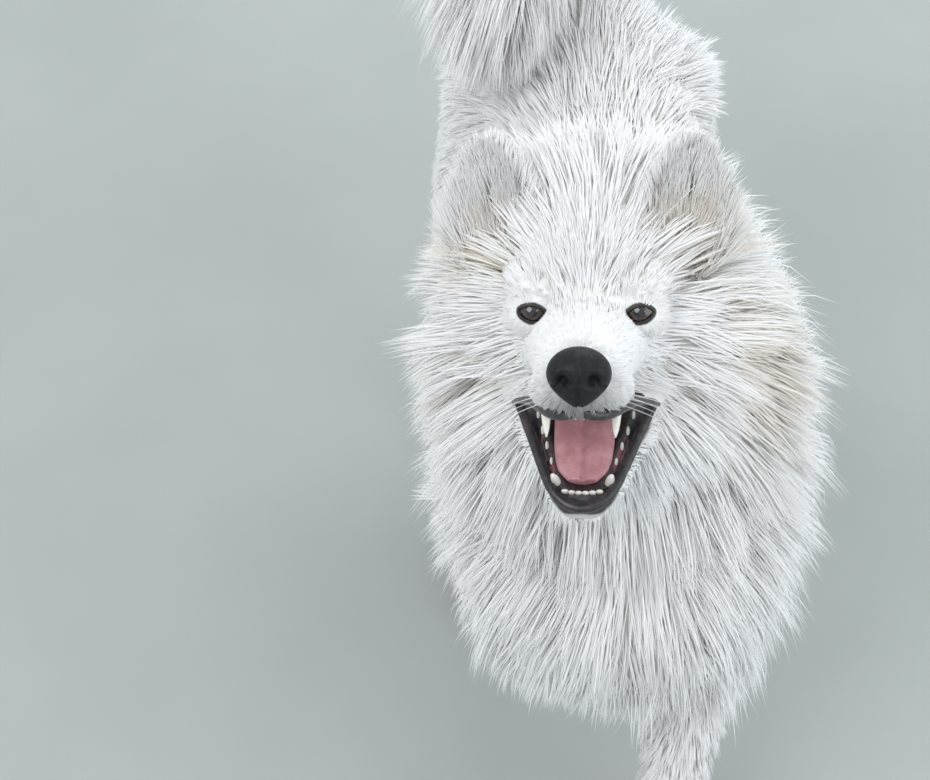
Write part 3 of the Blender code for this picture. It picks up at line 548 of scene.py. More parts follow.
class Paint:
    """One material and the nodes that feed its shader."""

    def __init__(self, name, roughness, specular=None, wet=None, wet_roughness=None):
        self.material = bpy.data.materials.new(name)
        self.material.use_nodes = True
        self.tree = self.material.node_tree
        self.shader = self.tree.nodes["Principled BSDF"]
        settings = {
            "Roughness": roughness,
            "Specular IOR Level": specular,
            "Coat Weight": wet,
            "Coat Roughness": wet_roughness,
        }
        for key, value in settings.items():
            if value is not None:
                self.shader.inputs[key].default_value = value

    def node(self, kind, settings, *values, output=0):
        """Any shader node, its settings, and what goes into its sockets in order."""
        made = self.tree.nodes.new("ShaderNode" + kind)
        for key, value in settings.items():
            setattr(made, key, value)
        sockets = [socket for socket in made.inputs if socket.enabled]
        for socket, value in zip(sockets, values):
            if isinstance(value, Value):
                self.tree.links.new(value.socket, socket)
            else:
                socket.default_value = value
        outputs = [socket for socket in made.outputs if socket.enabled]
        return Value(self, outputs[output])

    def place(self):
        """The piece's Object coordinates."""
        return self.node("TexCoord", {}, output=3)

    def attribute(self, name):
        """A number that the mesh stores."""
        return self.node("Attribute", {"attribute_name": name}, output=2)

    def noise(self, scale, detail=3.0, rough=0.55, stretch=None):
        """Noise over the Object coordinates, stretched along an axis if asked."""
        where = self.place()
        if stretch is not None:
            where = self.node("VectorMath", {"operation": "MULTIPLY"}, where, stretch)
        return self.node("TexNoise", {}, where, scale, detail, rough)

    def mix(self, factor, first, second):
        """One colour going over to another."""
        return self.node("Mix", {"data_type": "RGBA"}, factor, first, second)

    def mottle(self, scale, detail, low, high, first, second):
        """Two colours in soft patches."""
        patches = self.noise(scale, detail).step(low, high)
        return self.mix(patches, colour(*first), colour(*second))

    def base(self, value):
        """Feeds the shader's own colour."""
        self.tree.links.new(value.socket, self.shader.inputs["Base Color"])

    def bump(self, height, distance, strength):
        """Raises the surface by a value."""
        made = self.tree.nodes.new("ShaderNodeBump")
        made.inputs["Strength"].default_value = strength
        made.inputs["Distance"].default_value = distance
        self.tree.links.new(height.socket, made.inputs["Height"])
        self.tree.links.new(made.outputs[0], self.shader.inputs["Normal"])


def colour(red, green, blue):
    """A colour as the sockets take it."""
    return (red, green, blue, 1.0)


def coat_paint():
    """White to cream hair: colour by the hair's own tone, by markings and by soft noise, with painted
    shade that darkens and warms each blade toward its root.
    """
    paint = Paint("coat", 0.75, 0.12)
    cream = paint.attribute("cream")
    grey = paint.attribute("grey")
    tip = paint.attribute("tip")
    tone = paint.attribute("tone")
    drift = paint.noise(9.0).step(0.42, 0.70)
    # Painted shade: every blade is a little darker and warmer at its root than at its tip, for the shade
    # deep among the hairs.
    white = paint.mix(tip.step(0.0, 0.55), colour(0.88, 0.86, 0.825), colour(0.91, 0.905, 0.895))
    warm = paint.mix((cream * 0.9 + drift * 0.16 + tone * 0.12).step(0.0, 1.0), white, CREAM)
    paint.base(paint.mix(grey * 0.9, warm, GREY))
    return paint.material


coat_material = coat_paint()


def part_of(obj, material, slot, *nodes):
    """Wears one material, rides on the one body and stands for its nodes; the slot it is given is not
    used.
    """
    obj.data.materials.clear()
    obj.data.materials.append(material)
    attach(obj, "root")
    if nodes:
        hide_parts(*nodes)
    return obj


def skin_paint():
    """Furred skin with the coat's markings, and the dark wet lining of the mouth."""
    paint = Paint("skin", 0.7, 0.25)
    drift = paint.noise(9.0).step(0.42, 0.70)
    cream = (paint.attribute("cream") * 0.9 + drift * 0.16).step(0.0, 1.0)
    furred = paint.mix(cream, colour(0.88, 0.865, 0.84), CREAM)
    furred = paint.mix(paint.attribute("grey") * 0.9, furred, GREY)
    lining = paint.mottle(90.0, 2.0, 0.40, 0.62, (0.030, 0.016, 0.018), (0.14, 0.055, 0.060))
    paint.base(paint.mix(paint.attribute("mouth"), furred, lining))
    paint.bump(paint.noise(700.0, 2.0, 0.6, (1, 1, 0.4)), 0.0006, 0.6)
    return paint.material


skin_points = points_of(skin)
cream_marks, grey_marks = markings(skin_points)
attribute(skin, "cream", cream_marks)
attribute(skin, "grey", grey_marks)
attribute(skin, "mouth", in_mouth(skin_points))
paws = [name.replace("leg", "paw") for name in LEGS]
trunk = ("head", "neck", "torso", "tail_root", "tail_arch", "tail_end")
part_of(skin, skin_paint(), "white_coat", *trunk, *LEGS, *paws)


# Ears: small and thick with round tips, of gristle under furred skin. Each is a cupped shell
# bent from a grid, hollow side forward, and rooted in the head.
EAR_ROOT = (0.062, -0.064, 0.030)
EAR_TIP = (0.067, -0.066, 0.106)
EAR_HALF_WIDTH = 0.0275
EAR_CUP = 0.012
EAR_THICK = 0.0050
EAR_SUNK = 0.016


def sided(name, side):
    """A name with the dog's own side, which is left where x is above 0."""
    return name + ("_left" if side > 0 else "_right")


def normals_of(obj):
    """Normals of a mesh's points, as rows."""
    rows = np.zeros(len(obj.data.vertices) * 3, np.float32)
    obj.data.vertex_normals.foreach_get("vector", rows)
    return rows.reshape(-1, 3).astype(float)


def place_points(obj, rows, place):
    """Gives a mesh new points, taken through a matrix, with its faces outward."""
    obj.data.vertices.foreach_set("co", moved(place, rows).astype(np.float32).ravel())
    obj.data.update()
    face_out(obj)


def ear_axes(side):
    """Root, tip, the way up one ear and the way its cup faces, in the head's frame."""
    root = np.array(EAR_ROOT) * (side, 1, 1)
    tip = np.array(EAR_TIP) * (side, 1, 1)
    return root, tip, unit(tip - root), unit(np.array((side * 0.25, 1.0, 0.0)))


def make_ear(side):
    """One ear's shell."""
    bpy.ops.mesh.primitive_grid_add(x_subdivisions=28, y_subdivisions=28, size=2)
    ear = bpy.context.object
    grid = points_of(ear)
    across, up = grid[:, 0], (grid[:, 1] + 1) / 2
    root, tip, axis, facing = ear_axes(side)
    facing = unit(facing - axis * (facing @ axis))
    height = np.linalg.norm(tip - root) + EAR_SUNK
    half = EAR_HALF_WIDTH * (0.50 + 0.50 * np.sin(np.minimum(up, 0.30) / 0.30 * math.pi / 2))
    half = half * np.sqrt(np.maximum(1 - np.maximum((up - 0.12) / 0.88, 0) ** 1.75, 0.0)) + 0.0004
    hollow = EAR_CUP * (1 - across**2) * np.maximum(1 - up, 0) ** 0.5
    rows = root - axis * EAR_SUNK + np.outer(up * height, axis)
    rows = rows + np.outer(across * half, np.cross(facing, axis))
    rows = rows - np.outer(hollow - EAR_CUP * 0.5, facing)
    place_points(ear, rows, HEAD)
    apply(ear, "SOLIDIFY", thickness=EAR_THICK, offset=0.0)
    apply(ear, "SUBSURF", levels=1, render_levels=1)
    face_out(ear)
    ear.name = sided("ear", side) + "_shell"
    ear.data.name = ear.name
    ear.data.uv_layers[0].name = "OFBake"
    points = points_of(ear)
    # The cup side is painted cream and grey, darker than the back: partly the warm skin inside the ear,
    # partly painted shade in the hollow of the cup.
    front = np.clip(normals_of(ear) @ (HEAD_TURN @ facing), 0, 1)
    attribute(ear, "cream", np.maximum(markings(points)[0], 0.35 * front))
    attribute(ear, "grey", 0.25 * front)
    attribute(ear, "tip", np.full(len(points), 0.5))
    attribute(ear, "tone", np.zeros(len(points)))
    return part_of(ear, coat_material, "white_coat", sided("ear", side))


EARS = {side: make_ear(side) for side in (-1, 1)}


# Eyes: dark brown almonds under wet corneas, looking along the face. Each is a ball whose
# cornea stands out a little, set in the socket cut into the skin.
EYE_RADIUS = 0.0115
GAZE = (0.0, 1.0, 0.05)
CORNEA = 0.60


def make_eye(side):
    """One eyeball with pupil, iris, dark rim and white."""
    bpy.ops.mesh.primitive_uv_sphere_add(segments=64, ring_count=48, radius=EYE_RADIUS)
    eye = bpy.context.object
    name = sided("eye", side)
    rows = points_of(eye)
    angle = np.arccos(np.clip(unit(rows) @ unit(np.array(GAZE)), -1, 1))
    bulge = 1 + 0.05 * np.clip(1 - (angle / CORNEA) ** 2, 0, 1)
    rows = rows * bulge[:, None] + (side * EYE_SIDE, EYE_DEPTH, 0)
    place_points(eye, rows, HEAD)
    eye.name = name + "_ball"
    attribute(eye, "angle", angle)
    paint = Paint(name, 0.12, wet=1.0, wet_roughness=0.02)
    spread = paint.attribute("angle")
    brown = paint.mottle(900.0, 2.0, 0.3, 0.7, (0.012, 0.005, 0.003), (0.060, 0.026, 0.011))
    brown = paint.mix(spread.step(0.26, 0.34), colour(0.002, 0.002, 0.002), brown)
    brown = paint.mix(spread.step(0.50, 0.62), brown, colour(0.008, 0.005, 0.004))
    paint.base(paint.mix(spread.step(0.66, 0.78), brown, colour(0.10, 0.075, 0.06)))
    return part_of(eye, paint.material, "eye", name)


# Lids: furred skin over each ball, round an almond opening with a black rim. Each pair is one
# shell shaped from a ring, so that its edge is as round as a real lid's.
OPENING = (0.0085, 0.0047)
LID_REACH = 0.0140
LID_BEND = 0.0096
LID_FRONT = 0.0074
RING = 0.2


def make_lids(side):
    """Both lids of one eye, shaped from a ring of middle radius 1 and thickness RING."""
    bpy.ops.mesh.primitive_torus_add(
        major_segments=64, minor_segments=20, major_radius=1, minor_radius=RING
    )
    shell = bpy.context.object
    ring = points_of(shell)
    turn = np.arctan2(ring[:, 1], ring[:, 0])
    cos, sin = np.cos(turn), np.sin(turn)
    share = (1 + (np.hypot(ring[:, 0], ring[:, 1]) - 1) / RING) / 2
    almond = [OPENING[0] * cos, OPENING[1] * sin * (1 - 0.28 * cos**2) + 0.0010 * cos]
    inner = np.stack(almond, 1)
    outer = LID_REACH * np.stack([cos, sin], 1)
    flat = inner * (1 - share)[:, None] + outer * share[:, None]
    far = np.linalg.norm(flat, axis=1)
    ahead = np.sqrt(np.maximum((EYE_RADIUS + 0.0006) ** 2 - far**2, 0))
    ahead = np.where(far > LID_BEND, np.maximum(ahead, LID_FRONT - (far - LID_BEND) * 0.75), ahead)
    rows = np.stack([flat[:, 0], ahead, flat[:, 1]], 1)
    thick = 0.0005 + 0.0007 * np.clip(sin, 0, 1) * np.exp(-((share / 0.30) ** 2))
    rows += unit(rows) * ((ring[:, 2] / RING) * thick + 0.0003)[:, None]
    rows = rows * (side, 1, 1) + (side * EYE_SIDE, EYE_DEPTH, 0)
    place_points(shell, rows, HEAD)
    shell.name = sided("lids", side)
    shell.data.uv_layers[0].name = "OFBake"
    attribute(shell, "rim", share)
    paint = Paint("lid_skin", 0.5, wet=0.15, wet_roughness=0.3)
    ragged = paint.attribute("rim") + paint.noise(500.0, 2.0) * 0.12
    dark = paint.mottle(300.0, 3.0, 0.35, 0.75, (0.012, 0.010, 0.010), (0.034, 0.027, 0.025))
    paint.base(paint.mix(ragged.step(0.24, 0.40), dark, colour(0.84, 0.82, 0.79)))
    paint.bump(paint.noise(1500.0, 2.0), 0.0003, 0.5)
    return part_of(shell, paint.material, "lip_skin")


LIDS = {}
for side in (-1, 1):
    make_eye(side)
    LIDS[side] = make_lids(side)


# Nose: black pebbled leather on the tip of the muzzle, with comma-shaped nostrils and a groove
# down its middle, all pressed into one ball.
NOSE_AT = (0, 0.0850, -0.0210)
NOSTRIL = (0.0092, 0.0037, -0.0025, 0.0040)
SLIT = (0.0145, 0.0034, -0.0068, 0.0018)
WING = (0.0150, 0.0050, 0.0010, 0.0060)


def dent(across, up, spot):
    """1 at one spot of the nose's front, falling to 0 around it."""
    x, wide, z, high = spot
    return np.exp(-(((across - x) / wide) ** 2) - ((up - z) / high) ** 2)


def make_nose():
    """The nose leather, from a sphere."""
    bpy.ops.mesh.primitive_uv_sphere_add(segments=96, ring_count=64, radius=1)
    nose = bpy.context.object
    x, y, z = points_of(nose).T
    low = np.clip(-z, 0, 1)
    wide = 0.0200 * (1 - 0.46 * low**2.2)
    tall = np.where(z > 0, 0.0165, 0.0215)
    shape = np.stack([x * wide, y * (0.0150 - 0.0030 * low), z * tall], 1)
    front = np.clip(y * 3, 0, 1)
    groove = np.exp(-((shape[:, 0] / 0.0013) ** 2)) * np.clip(0.4 - z, 0, 1)
    shape[:, 1] -= 0.0022 * groove * front
    for side in (-1, 1):
        aside, up = shape[:, 0] * side, shape[:, 2]
        inner = dent(aside, up, NOSTRIL)
        slit = dent(aside, up, SLIT)
        shape[:, 1] -= (0.0075 * inner + 0.0035 * slit) * front
        shape[:, 1] += 0.0016 * dent(aside, up, WING) * front
    place_points(nose, shape + NOSE_AT, HEAD)
    nose.name = "nose_leather"
    paint = Paint("nose_leather", 0.5, 0.3, 0.12, 0.25)
    cell = paint.node("TexVoronoi", {"feature": "DISTANCE_TO_EDGE"}, paint.place(), 900.0)
    paint.base(paint.mottle(300.0, 2.0, 0.3, 0.8, (0.004, 0.004, 0.005), (0.016, 0.016, 0.019)))
    paint.bump(cell.step(0.0, 0.20), 0.0004, 0.7)
    return part_of(nose, paint.material, "nose_skin", "nose")


make_nose()


# Upper lip: the black bare edge of the muzzle, a soft roll from one corner of the mouth to the
# other, laid along the lower edge of the skin.
UPPER_LIP = (
    (0, 0.0825, -0.0460),
    (0.010, 0.0798, -0.0485),
    (0.019, 0.0712, -0.0496),
    (0.0270, 0.0560, -0.0490),
    (0.0350, 0.0360, -0.0500),
    (0.0425, 0.0180, -0.0540),
    (0.0475, 0.0040, -0.0590),
)
UPPER_ROLL = (0.0026, 0.0034)


def dark_skin(name, roughness, tint, wet):
    """Black bare skin, as on lips and pads."""
    paint = Paint(name, roughness, wet=wet, wet_roughness=0.25)
    lighter = [part * 2.6 + 0.006 for part in tint]
    paint.base(paint.mottle(220.0, 3.0, 0.35, 0.75, tint, lighter))
    paint.bump(paint.noise(1500.0, 2.0), 0.0003, 0.5)
    return paint.material


def both_sides(points, per=6):
    """A line mirrored over the middle, smooth from the dog's right to its left."""
    rows = np.array(points, float)
    if rows[0, 0] != 0:
        rows = rows[::-1]
    return filled(np.vstack([rows[:0:-1] * (-1, 1, 1), rows]), per)


def swept(name, points, radii, sides=12, up=(0, 0, 1), place=Matrix.Identity(4)):
    """A closed tube along points. Each radius is one number, or a pair: sideways and along up."""
    points = np.asarray(points, float)
    radii = np.asarray(radii, float)
    if radii.ndim == 1:
        radii = np.stack([radii, radii], 1)
    along = unit(np.gradient(points, axis=0))
    side = unit(np.cross(along, np.asarray(up, float)))
    top = np.cross(side, along)
    turn = np.arange(sides) * 2 * math.pi / sides
    rings = (
        points[:, None]
        + side[:, None] * (np.cos(turn)[None, :, None] * radii[:, None, :1])
        + top[:, None] * (np.sin(turn)[None, :, None] * radii[:, None, 1:])
    )
    return tube(name, rings, points[[0, -1]], place)


def make_upper_lip():
    """The black edge of the upper lip, from corner to corner."""
    line = both_sides(UPPER_LIP)
    ends = np.sin(np.linspace(0.04, 0.96, len(line)) * math.pi) ** 0.35
    lip = swept("upper_lip", line, np.outer(ends, UPPER_ROLL), 14, place=HEAD)
    return part_of(lip, dark_skin("lip_skin", 0.36, (0.014, 0.012, 0.013), 0.45), "lip_skin")


make_upper_lip()


# Lower jaw: furred below, with a broad black lip and a trough for the tongue. It is one closed
# form, hollowed, with the lip's roll melted into it, and hangs open from the hinge.
LOWER_LIP = (
    (0.0440, 0.0540, 0.0095),
    (0.0350, 0.0780, 0.0075),
    (0.0265, 0.1020, 0.0065),
    (0.0195, 0.1190, 0.0060),
    (0.0105, 0.1285, 0.0045),
    (0, 0.1315, 0.0040),
)
LOWER_ROLL = (0.0036, 0.0032)
JAW_FORM = (
    (0, 0.018, -0.008, 0.030, 0.012),
    (0, 0.056, -0.006, 0.0440, 0.0165),
    (0, 0.085, -0.006, 0.0330, 0.0150),
    (0, 0.108, -0.005, 0.0255, 0.0135),
    (0, 0.122, -0.004, 0.0200, 0.0115),
    (0, 0.132, -0.003, 0.0120, 0.0075),
)
JAW_TROUGH = (
    (0, 0.010, 0.018, 0.0240, 0.0180),
    (0, 0.056, 0.016, 0.0350, 0.0160),
    (0, 0.085, 0.014, 0.0250, 0.0140),
    (0, 0.108, 0.014, 0.0175, 0.0120),
    (0, 0.119, 0.014, 0.0120, 0.0090),
)


def make_jaw():
    """The lower jaw with its lip and trough."""
    jaw = wedge("jaw_skin", JAW_FORM, JAW, 40)
    apply(jaw, "REMESH", mode="VOXEL", voxel_size=0.0013, adaptivity=0.0)
    apply(jaw, "SMOOTH", factor=0.5, iterations=6)
    cut(jaw, wedge("trough", JAW_TROUGH, JAW, 40))
    line = both_sides(LOWER_LIP)
    radii = np.tile(LOWER_ROLL, (len(line), 1))
    cut(jaw, swept("lower_lip", line, radii, 14, place=JAW), "UNION")
    apply(jaw, "REMESH", mode="VOXEL", voxel_size=0.0012, adaptivity=0.0)
    apply(jaw, "SMOOTH", factor=0.5, iterations=4)
    jaw.data.shade_smooth()
    attribute(jaw, "height", moved(JAW.inverted(), points_of(jaw))[:, 2])
    paint = Paint("jaw_skin", 0.40, wet=0.35, wet_roughness=0.25)
    ragged = paint.attribute("height") + paint.noise(260.0) * 0.0030
    dark = paint.mottle(180.0, 3.0, 0.4, 0.7, (0.012, 0.010, 0.011), (0.045, 0.030, 0.032))
    paint.base(paint.mix(ragged.step(-0.0035, 0.0005), colour(0.62, 0.60, 0.58), dark))
    paint.bump(paint.noise(1100.0, 2.0), 0.0004, 0.5)
    unwrap(jaw)
    return part_of(jaw, paint.material, "lip_skin", "jaw")


jaw = make_jaw()


# Tongue: wet pink muscle with a groove down its middle and a rough top. It lies in the jaw's
# trough and ends behind the lower teeth.
TONGUE = (
    (0, 0.016, 0.004, 0.0160, 0.0060),
    (0, 0.050, 0.0065, 0.0195, 0.0070),
    (0, 0.085, 0.0060, 0.0195, 0.0060),
    (0, 0.104, 0.0060, 0.0165, 0.0048),
    (0, 0.1135, 0.0066, 0.0095, 0.0030),
)


def make_tongue():
    """The tongue, with its groove and rough top."""
    rows = filled(TONGUE, 10)
    tongue = swept("tongue_form", rows[:, :3], rows[:, 3:5], 48)
    local = points_of(tongue)
    top = np.clip(local[:, 2] / 0.006, 0, 1)
    local[:, 2] -= 0.0034 * np.exp(-((local[:, 0] / 0.0020) ** 2)) * top
    local[:, 2] += 0.0016 * (np.abs(local[:, 0]) / 0.019) ** 2
    place_points(tongue, local, JAW)
    apply(tongue, "SUBSURF", levels=1, render_levels=1)
    paint = Paint("tongue_skin", 0.42, wet=0.5, wet_roughness=0.18)
    paint.base(paint.mottle(120.0, 3.0, 0.3, 0.75, (0.42, 0.170, 0.190), (0.56, 0.270, 0.290)))
    paint.bump(paint.noise(1700.0, 2.0), 0.0005, 0.8)
    return part_of(tongue, paint.material, "tongue_skin", "tongue")


make_tongue()


# Teeth: ivory-coloured canines, incisors and cheek teeth of both jaws, each a blunt curved
# cone rooted in the gum, joined into one piece.
CANINES = (
    ((0.0225, 0.060, -0.040), (0.0215, 0.0645, -0.0665), 0.0036, HEAD),
    ((0.0160, 0.1130, -0.002), (0.0190, 0.1160, 0.0190), 0.0034, JAW),
)
CHEEK_TOOTH = (0.5, 1.2)
INCISOR = (1.0, 0.55)


def joined(name, pieces):
    """Several objects as one, under a new name."""
    bpy.ops.object.select_all(action="DESELECT")
    for piece in pieces:
        piece.select_set(True)
    bpy.context.view_layer.objects.active = pieces[0]
    bpy.ops.object.join()
    pieces[0].name = name
    pieces[0].data.name = name
    bpy.ops.object.select_all(action="DESELECT")
    return pieces[0]


def tooth(root, tip, radius, place, blunt=1.8, flat=(1.0, 1.0)):
    """One tooth, a curved cone."""
    root, tip = np.array(root), np.array(tip)
    marks = np.linspace(0, 1, 7)
    line = root + np.outer(marks, tip - root)
    line[:, 1] -= 0.0012 * np.sin(marks * math.pi)
    radii = radius * np.sqrt(np.maximum(1 - marks**blunt, 0.015))
    return swept("tooth", line, np.outer(radii, flat), 12, up=(0, 1, 0.3), place=place)


def make_teeth():
    """Canines, incisors and cheek teeth of both jaws."""
    made = []
    for side in (-1, 1):
        for root, tip, radius, place in CANINES:
            mirror = (side, 1, 1)
            made.append(tooth(np.array(root) * mirror, np.array(tip) * mirror, radius, place))
        for k in range(4):
            x = side * (0.0222 + k * 0.0027)
            y = 0.048 - k * 0.011
            tip = (x, y, -0.0545 - 0.001 * k)
            made.append(tooth((x, y, -0.0465), tip, 0.0038, HEAD, 2.2, CHEEK_TOOTH))
            x = side * (0.0205 + k * 0.0034)
            y = 0.098 - k * 0.012
            tip = (x + side * 0.0005, y, 0.0068 + 0.0008 * k)
            made.append(tooth((x, y, 0.000), tip, 0.0034, JAW, 2.2, CHEEK_TOOTH))
    for k in range(6):
        x = (k - 2.5) * 0.0046
        y = 0.1225 - 9 * x * x
        made.append(tooth((x * 0.92, y, 0), (x * 0.98, y + 0.0016, 0.0112), 0.0024, JAW, 9.0, INCISOR))
        y = 0.0760 - 8 * x * x
        made.append(tooth((x * 1.1, y, -0.0400), (x * 1.1, y + 0.0015, -0.0520), 0.0026, HEAD))
    paint = Paint("teeth", 0.22, wet=0.5, wet_roughness=0.08)
    paint.base(paint.mottle(160.0, 2.0, 0.35, 0.8, (0.86, 0.83, 0.76), (0.76, 0.70, 0.58)))
    return part_of(joined("teeth", made), paint.material, None)


make_teeth()


# Gums: wet pink flesh with black patches. One roll carries the lower teeth, and another lies
# behind the upper lip.
LOWER_GUM = (
    (0.0330, 0.050, 0.0010),
    (0.0265, 0.074, 0.0010),
    (0.0195, 0.098, 0.0012),
    (0.0160, 0.113, 0.0012),
    (0.0080, 0.1205, 0.0010),
    (0, 0.1220, 0.0010),
)
UPPER_GUM = (
    (0, 0.0735, -0.0430),
    (0.0110, 0.0705, -0.0435),
    (0.0180, 0.0600, -0.0440),
    (0.0200, 0.046, -0.0452),
    (0.0250, 0.014, -0.0480),
)


def make_gums():
    """Both gums in one piece."""
    made = []
    for name, points, radius, place in (
        ("gum_low", LOWER_GUM, 0.0040, JAW),
        ("gum_high", UPPER_GUM, 0.0034, HEAD),
    ):
        line = both_sides(points)
        made.append(swept(name, line, np.full(len(line), radius), 12, place=place))
    paint = Paint("gums", 0.35, wet=0.5, wet_roughness=0.15)
    paint.base(paint.mottle(110.0, 3.0, 0.42, 0.56, (0.20, 0.075, 0.080), (0.030, 0.020, 0.022)))
    return part_of(joined("gums", made), paint.material, "tongue_skin")


make_gums()


# Whiskers: stiff pale bristles, in three rows on each side of the upper lip and a few over
# each eye, as thin tapered tubes in one piece.
draw = np.random.default_rng(7)


def bristle(root, way, length, marks, sag, thick):
    """One thin tapered tube that sinks and bends back toward its tip."""
    line = root + np.outer(marks * length, way)
    line[:, 2] -= sag[0] * marks**2
    line[:, 1] -= sag[1] * marks**2
    return swept("whisker", line, thick * (1 - marks) + 0.00004, 5, place=HEAD)


def make_whiskers():
    """All the whiskers as one piece."""
    made = []
    for side in (-1, 1):
        for row in range(3):
            for k in range(5):
                y = 0.072 - k * 0.0085 - row * 0.002
                root = (side * (0.0235 + 0.0030 * k), y, -0.034 - row * 0.0050)
                outward = side * (0.95 + 0.1 * draw.random())
                way = unit(np.array((outward, -0.30 - 0.10 * k, -0.25 + 0.12 * (1 - row))))
                length = 0.040 + 0.022 * draw.random()
                made.append(bristle(root, way, length, np.linspace(0, 1, 9), (0.010, 0.008), 0.00024))
        for k in range(3):
            root = (side * (0.026 + 0.004 * k), -0.006, 0.0165)
            way = unit(np.array((side * (0.15 + 0.2 * k), 0.55, 0.85)))
            made.append(bristle(root, way, 0.026, np.linspace(0, 1, 7), (0, 0.006), 0.00020))
    paint = Paint("whiskers", 0.45)
    paint.base(paint.mottle(60.0, 3.0, 0.3, 0.7, (0.80, 0.78, 0.74), (0.62, 0.59, 0.55)))
    return part_of(joined("whiskers", made), paint.material, "white_coat")


make_whiskers()


# The lie of the coat: which way the hair runs, how long it is and how far it stands off at any
# point of the skin. It is mixed from the forms nearby, the nearest counting most.
FACE_MIDDLE = moved(HEAD, [(0, 0.030, -0.030)])[0]
NOSE_TIP = moved(HEAD, [(0, 0.092, -0.018)])[0]
LIFTS = {
    "torso": 0.08,
    "chest": 0.46,
    "neck": 0.62,
    "head": 0.50,
    "tail": 0.42,
    "foreleg": 0.30,
    "hindleg": 0.05,
}
SIDES = {
    "torso": (-0.30, 0.65),
    "chest": (0.90, -0.10),
    "neck": (0.10, 0.10),
    "hindleg": (-0.30, 0.50),
}
SHOULDER_SIDE = 0.45
SIDE_LIFTS = {"chest": 0.40, "neck": 0.05}
LENGTHS = {"torso": 1.62, "chest": 1.65, "neck": 1.68, "head": 1.70, "tail": 1.55, "hindleg": 1.60}
FOREARM_DEPTH = 1.5
FEATHERS = {"foreleg": (0.08, 0.022), "hindleg": (0.19, 0.034)}
BLEND_REACH = 0.010
DOWN = np.array((0.0, 0.0, -1.0))


def smooth_step(value, low, high):
    """0 below low, 1 above high, and smooth between them."""
    share = np.clip((value - low) / (high - low), 0, 1)
    return share * share * (3 - 2 * share)


def laid(flow, normals):
    """A flow laid flat on the skin."""
    return unit(flow - normals * (flow * normals).sum(1)[:, None])


def torso_flow(points, normals):
    """Back and down over the ribs, and more down over the rump and shoulders."""
    y = points[:, 1] - SHIFT.y
    rear = np.clip((y - 0.38) / 0.07, 0, 1)
    front = np.clip((0.02 - y) / 0.12, 0, 1)
    back = np.clip(normals[:, 2], 0, 1)
    flow = np.zeros_like(points)
    flow[:, 0] = 0.35 * normals[:, 0] * back
    flow[:, 1] = 1.0 - 0.6 * rear - 0.75 * front
    flow[:, 2] = -0.30 - 0.55 * (1 - back) - 0.6 * rear - 0.6 * front
    return flow


def chest_flow(points, middle):
    """Down from the throat, parted to both sides."""
    aside = points[:, 0] - middle
    flow = np.tile((0.0, 0.10, -1.0), (len(points), 1))
    flow[:, 0] = aside * np.where(aside > 0, 3.2, 0.5)
    return flow


def neck_flow(points, normals):
    """The ruff: away from the face all round, and down under it."""
    away = unit(points - FACE_MIDDLE)
    beside = np.clip(np.abs(points[:, 0] - FACE_MIDDLE[0]) / 0.09, 0, 1)
    under = np.clip((FACE_MIDDLE[2] - points[:, 2]) / 0.06, 0, 1) * np.clip(-normals[:, 1] * 2, 0, 1)
    away[:, 0] *= 1 - under * (1 - beside)
    return away + 0.75 * DOWN + under[:, None] * DOWN


def face_flow(points):
    """Back from the nose, round the eyes, and down on the cheeks."""
    away = unit(points - NOSE_TIP)
    local = local_head(points)
    for side in (-1, 1):
        aside = local - (side * EYE_SIDE, 0, 0)
        push = np.clip(1.6 - np.linalg.norm(aside, axis=1) / 0.018, 0, 1.4)
        away = away + unit(aside @ HEAD_TURN.T) * push[:, None]
    low = np.clip((-0.030 - local[:, 2]) / 0.04, 0, 1) * np.clip((0.01 - local[:, 1]) / 0.05, 0, 1)
    return away + low[:, None] * DOWN * 0.6


def tail_flow(form, points, which):
    """Along the tail, out from it, and hanging more toward its tip."""
    outward = unit(points - form.middles[which])
    fall = np.clip(np.arange(len(form.middles)) / len(form.middles) - 0.25, 0, 1)[which]
    hanging = np.array((-0.30, -0.05, -0.55)) * fall[:, None] * 1.3
    return form.along[which] * 0.9 + outward * 0.55 + hanging


def flow_of(form, points, normals, which):
    """The way the hair runs on one form, before it is laid on the skin."""
    if form.name == "torso":
        return torso_flow(points, normals)
    if form.name == "chest":
        return chest_flow(points, form.middles[0, 0])
    if form.name == "neck":
        return neck_flow(points, normals)
    if form.name in ("head", "muzzle"):
        return face_flow(points)
    if form.name == "tail":
        return tail_flow(form, points, which)
    if "paw" in form.name:
        return np.tile((0.0, -0.75, -0.50), (len(points), 1))
    thigh = np.clip((points[:, 2] - 0.20) / 0.15, 0, 1) * form.name.startswith("hind")
    flow = form.along[which] * 1.0
    flow[:, 1] += 0.12 + 0.45 * thigh
    return flow


def depth_of(form, family, points, normals, which):
    """Depth of the coat on one form, with its fuller sides and the feathers of the legs."""
    aside = np.clip(normals[:, 0], -1, 1)
    wider, closer = SIDES.get(family, (0, 0))
    grown = wider * np.maximum(aside, 0) + closer * np.minimum(aside, 0)
    if family == "torso":
        rear = smooth_step(points[:, 1] - SHIFT.y, 0.05, 0.17)
        grown = grown * rear + SHOULDER_SIDE * np.maximum(aside, 0) * (1 - rear)
    depth = form.coat[which] * (1 + grown)
    if family == "foreleg":
        depth = depth * FOREARM_DEPTH
    if family in FEATHERS:
        joint, most = FEATHERS[family]
        behind = np.clip(normals[:, 1], 0, 1) * np.clip((points[:, 2] - joint) / 0.08, 0, 1)
        depth = depth + behind * most
    return depth


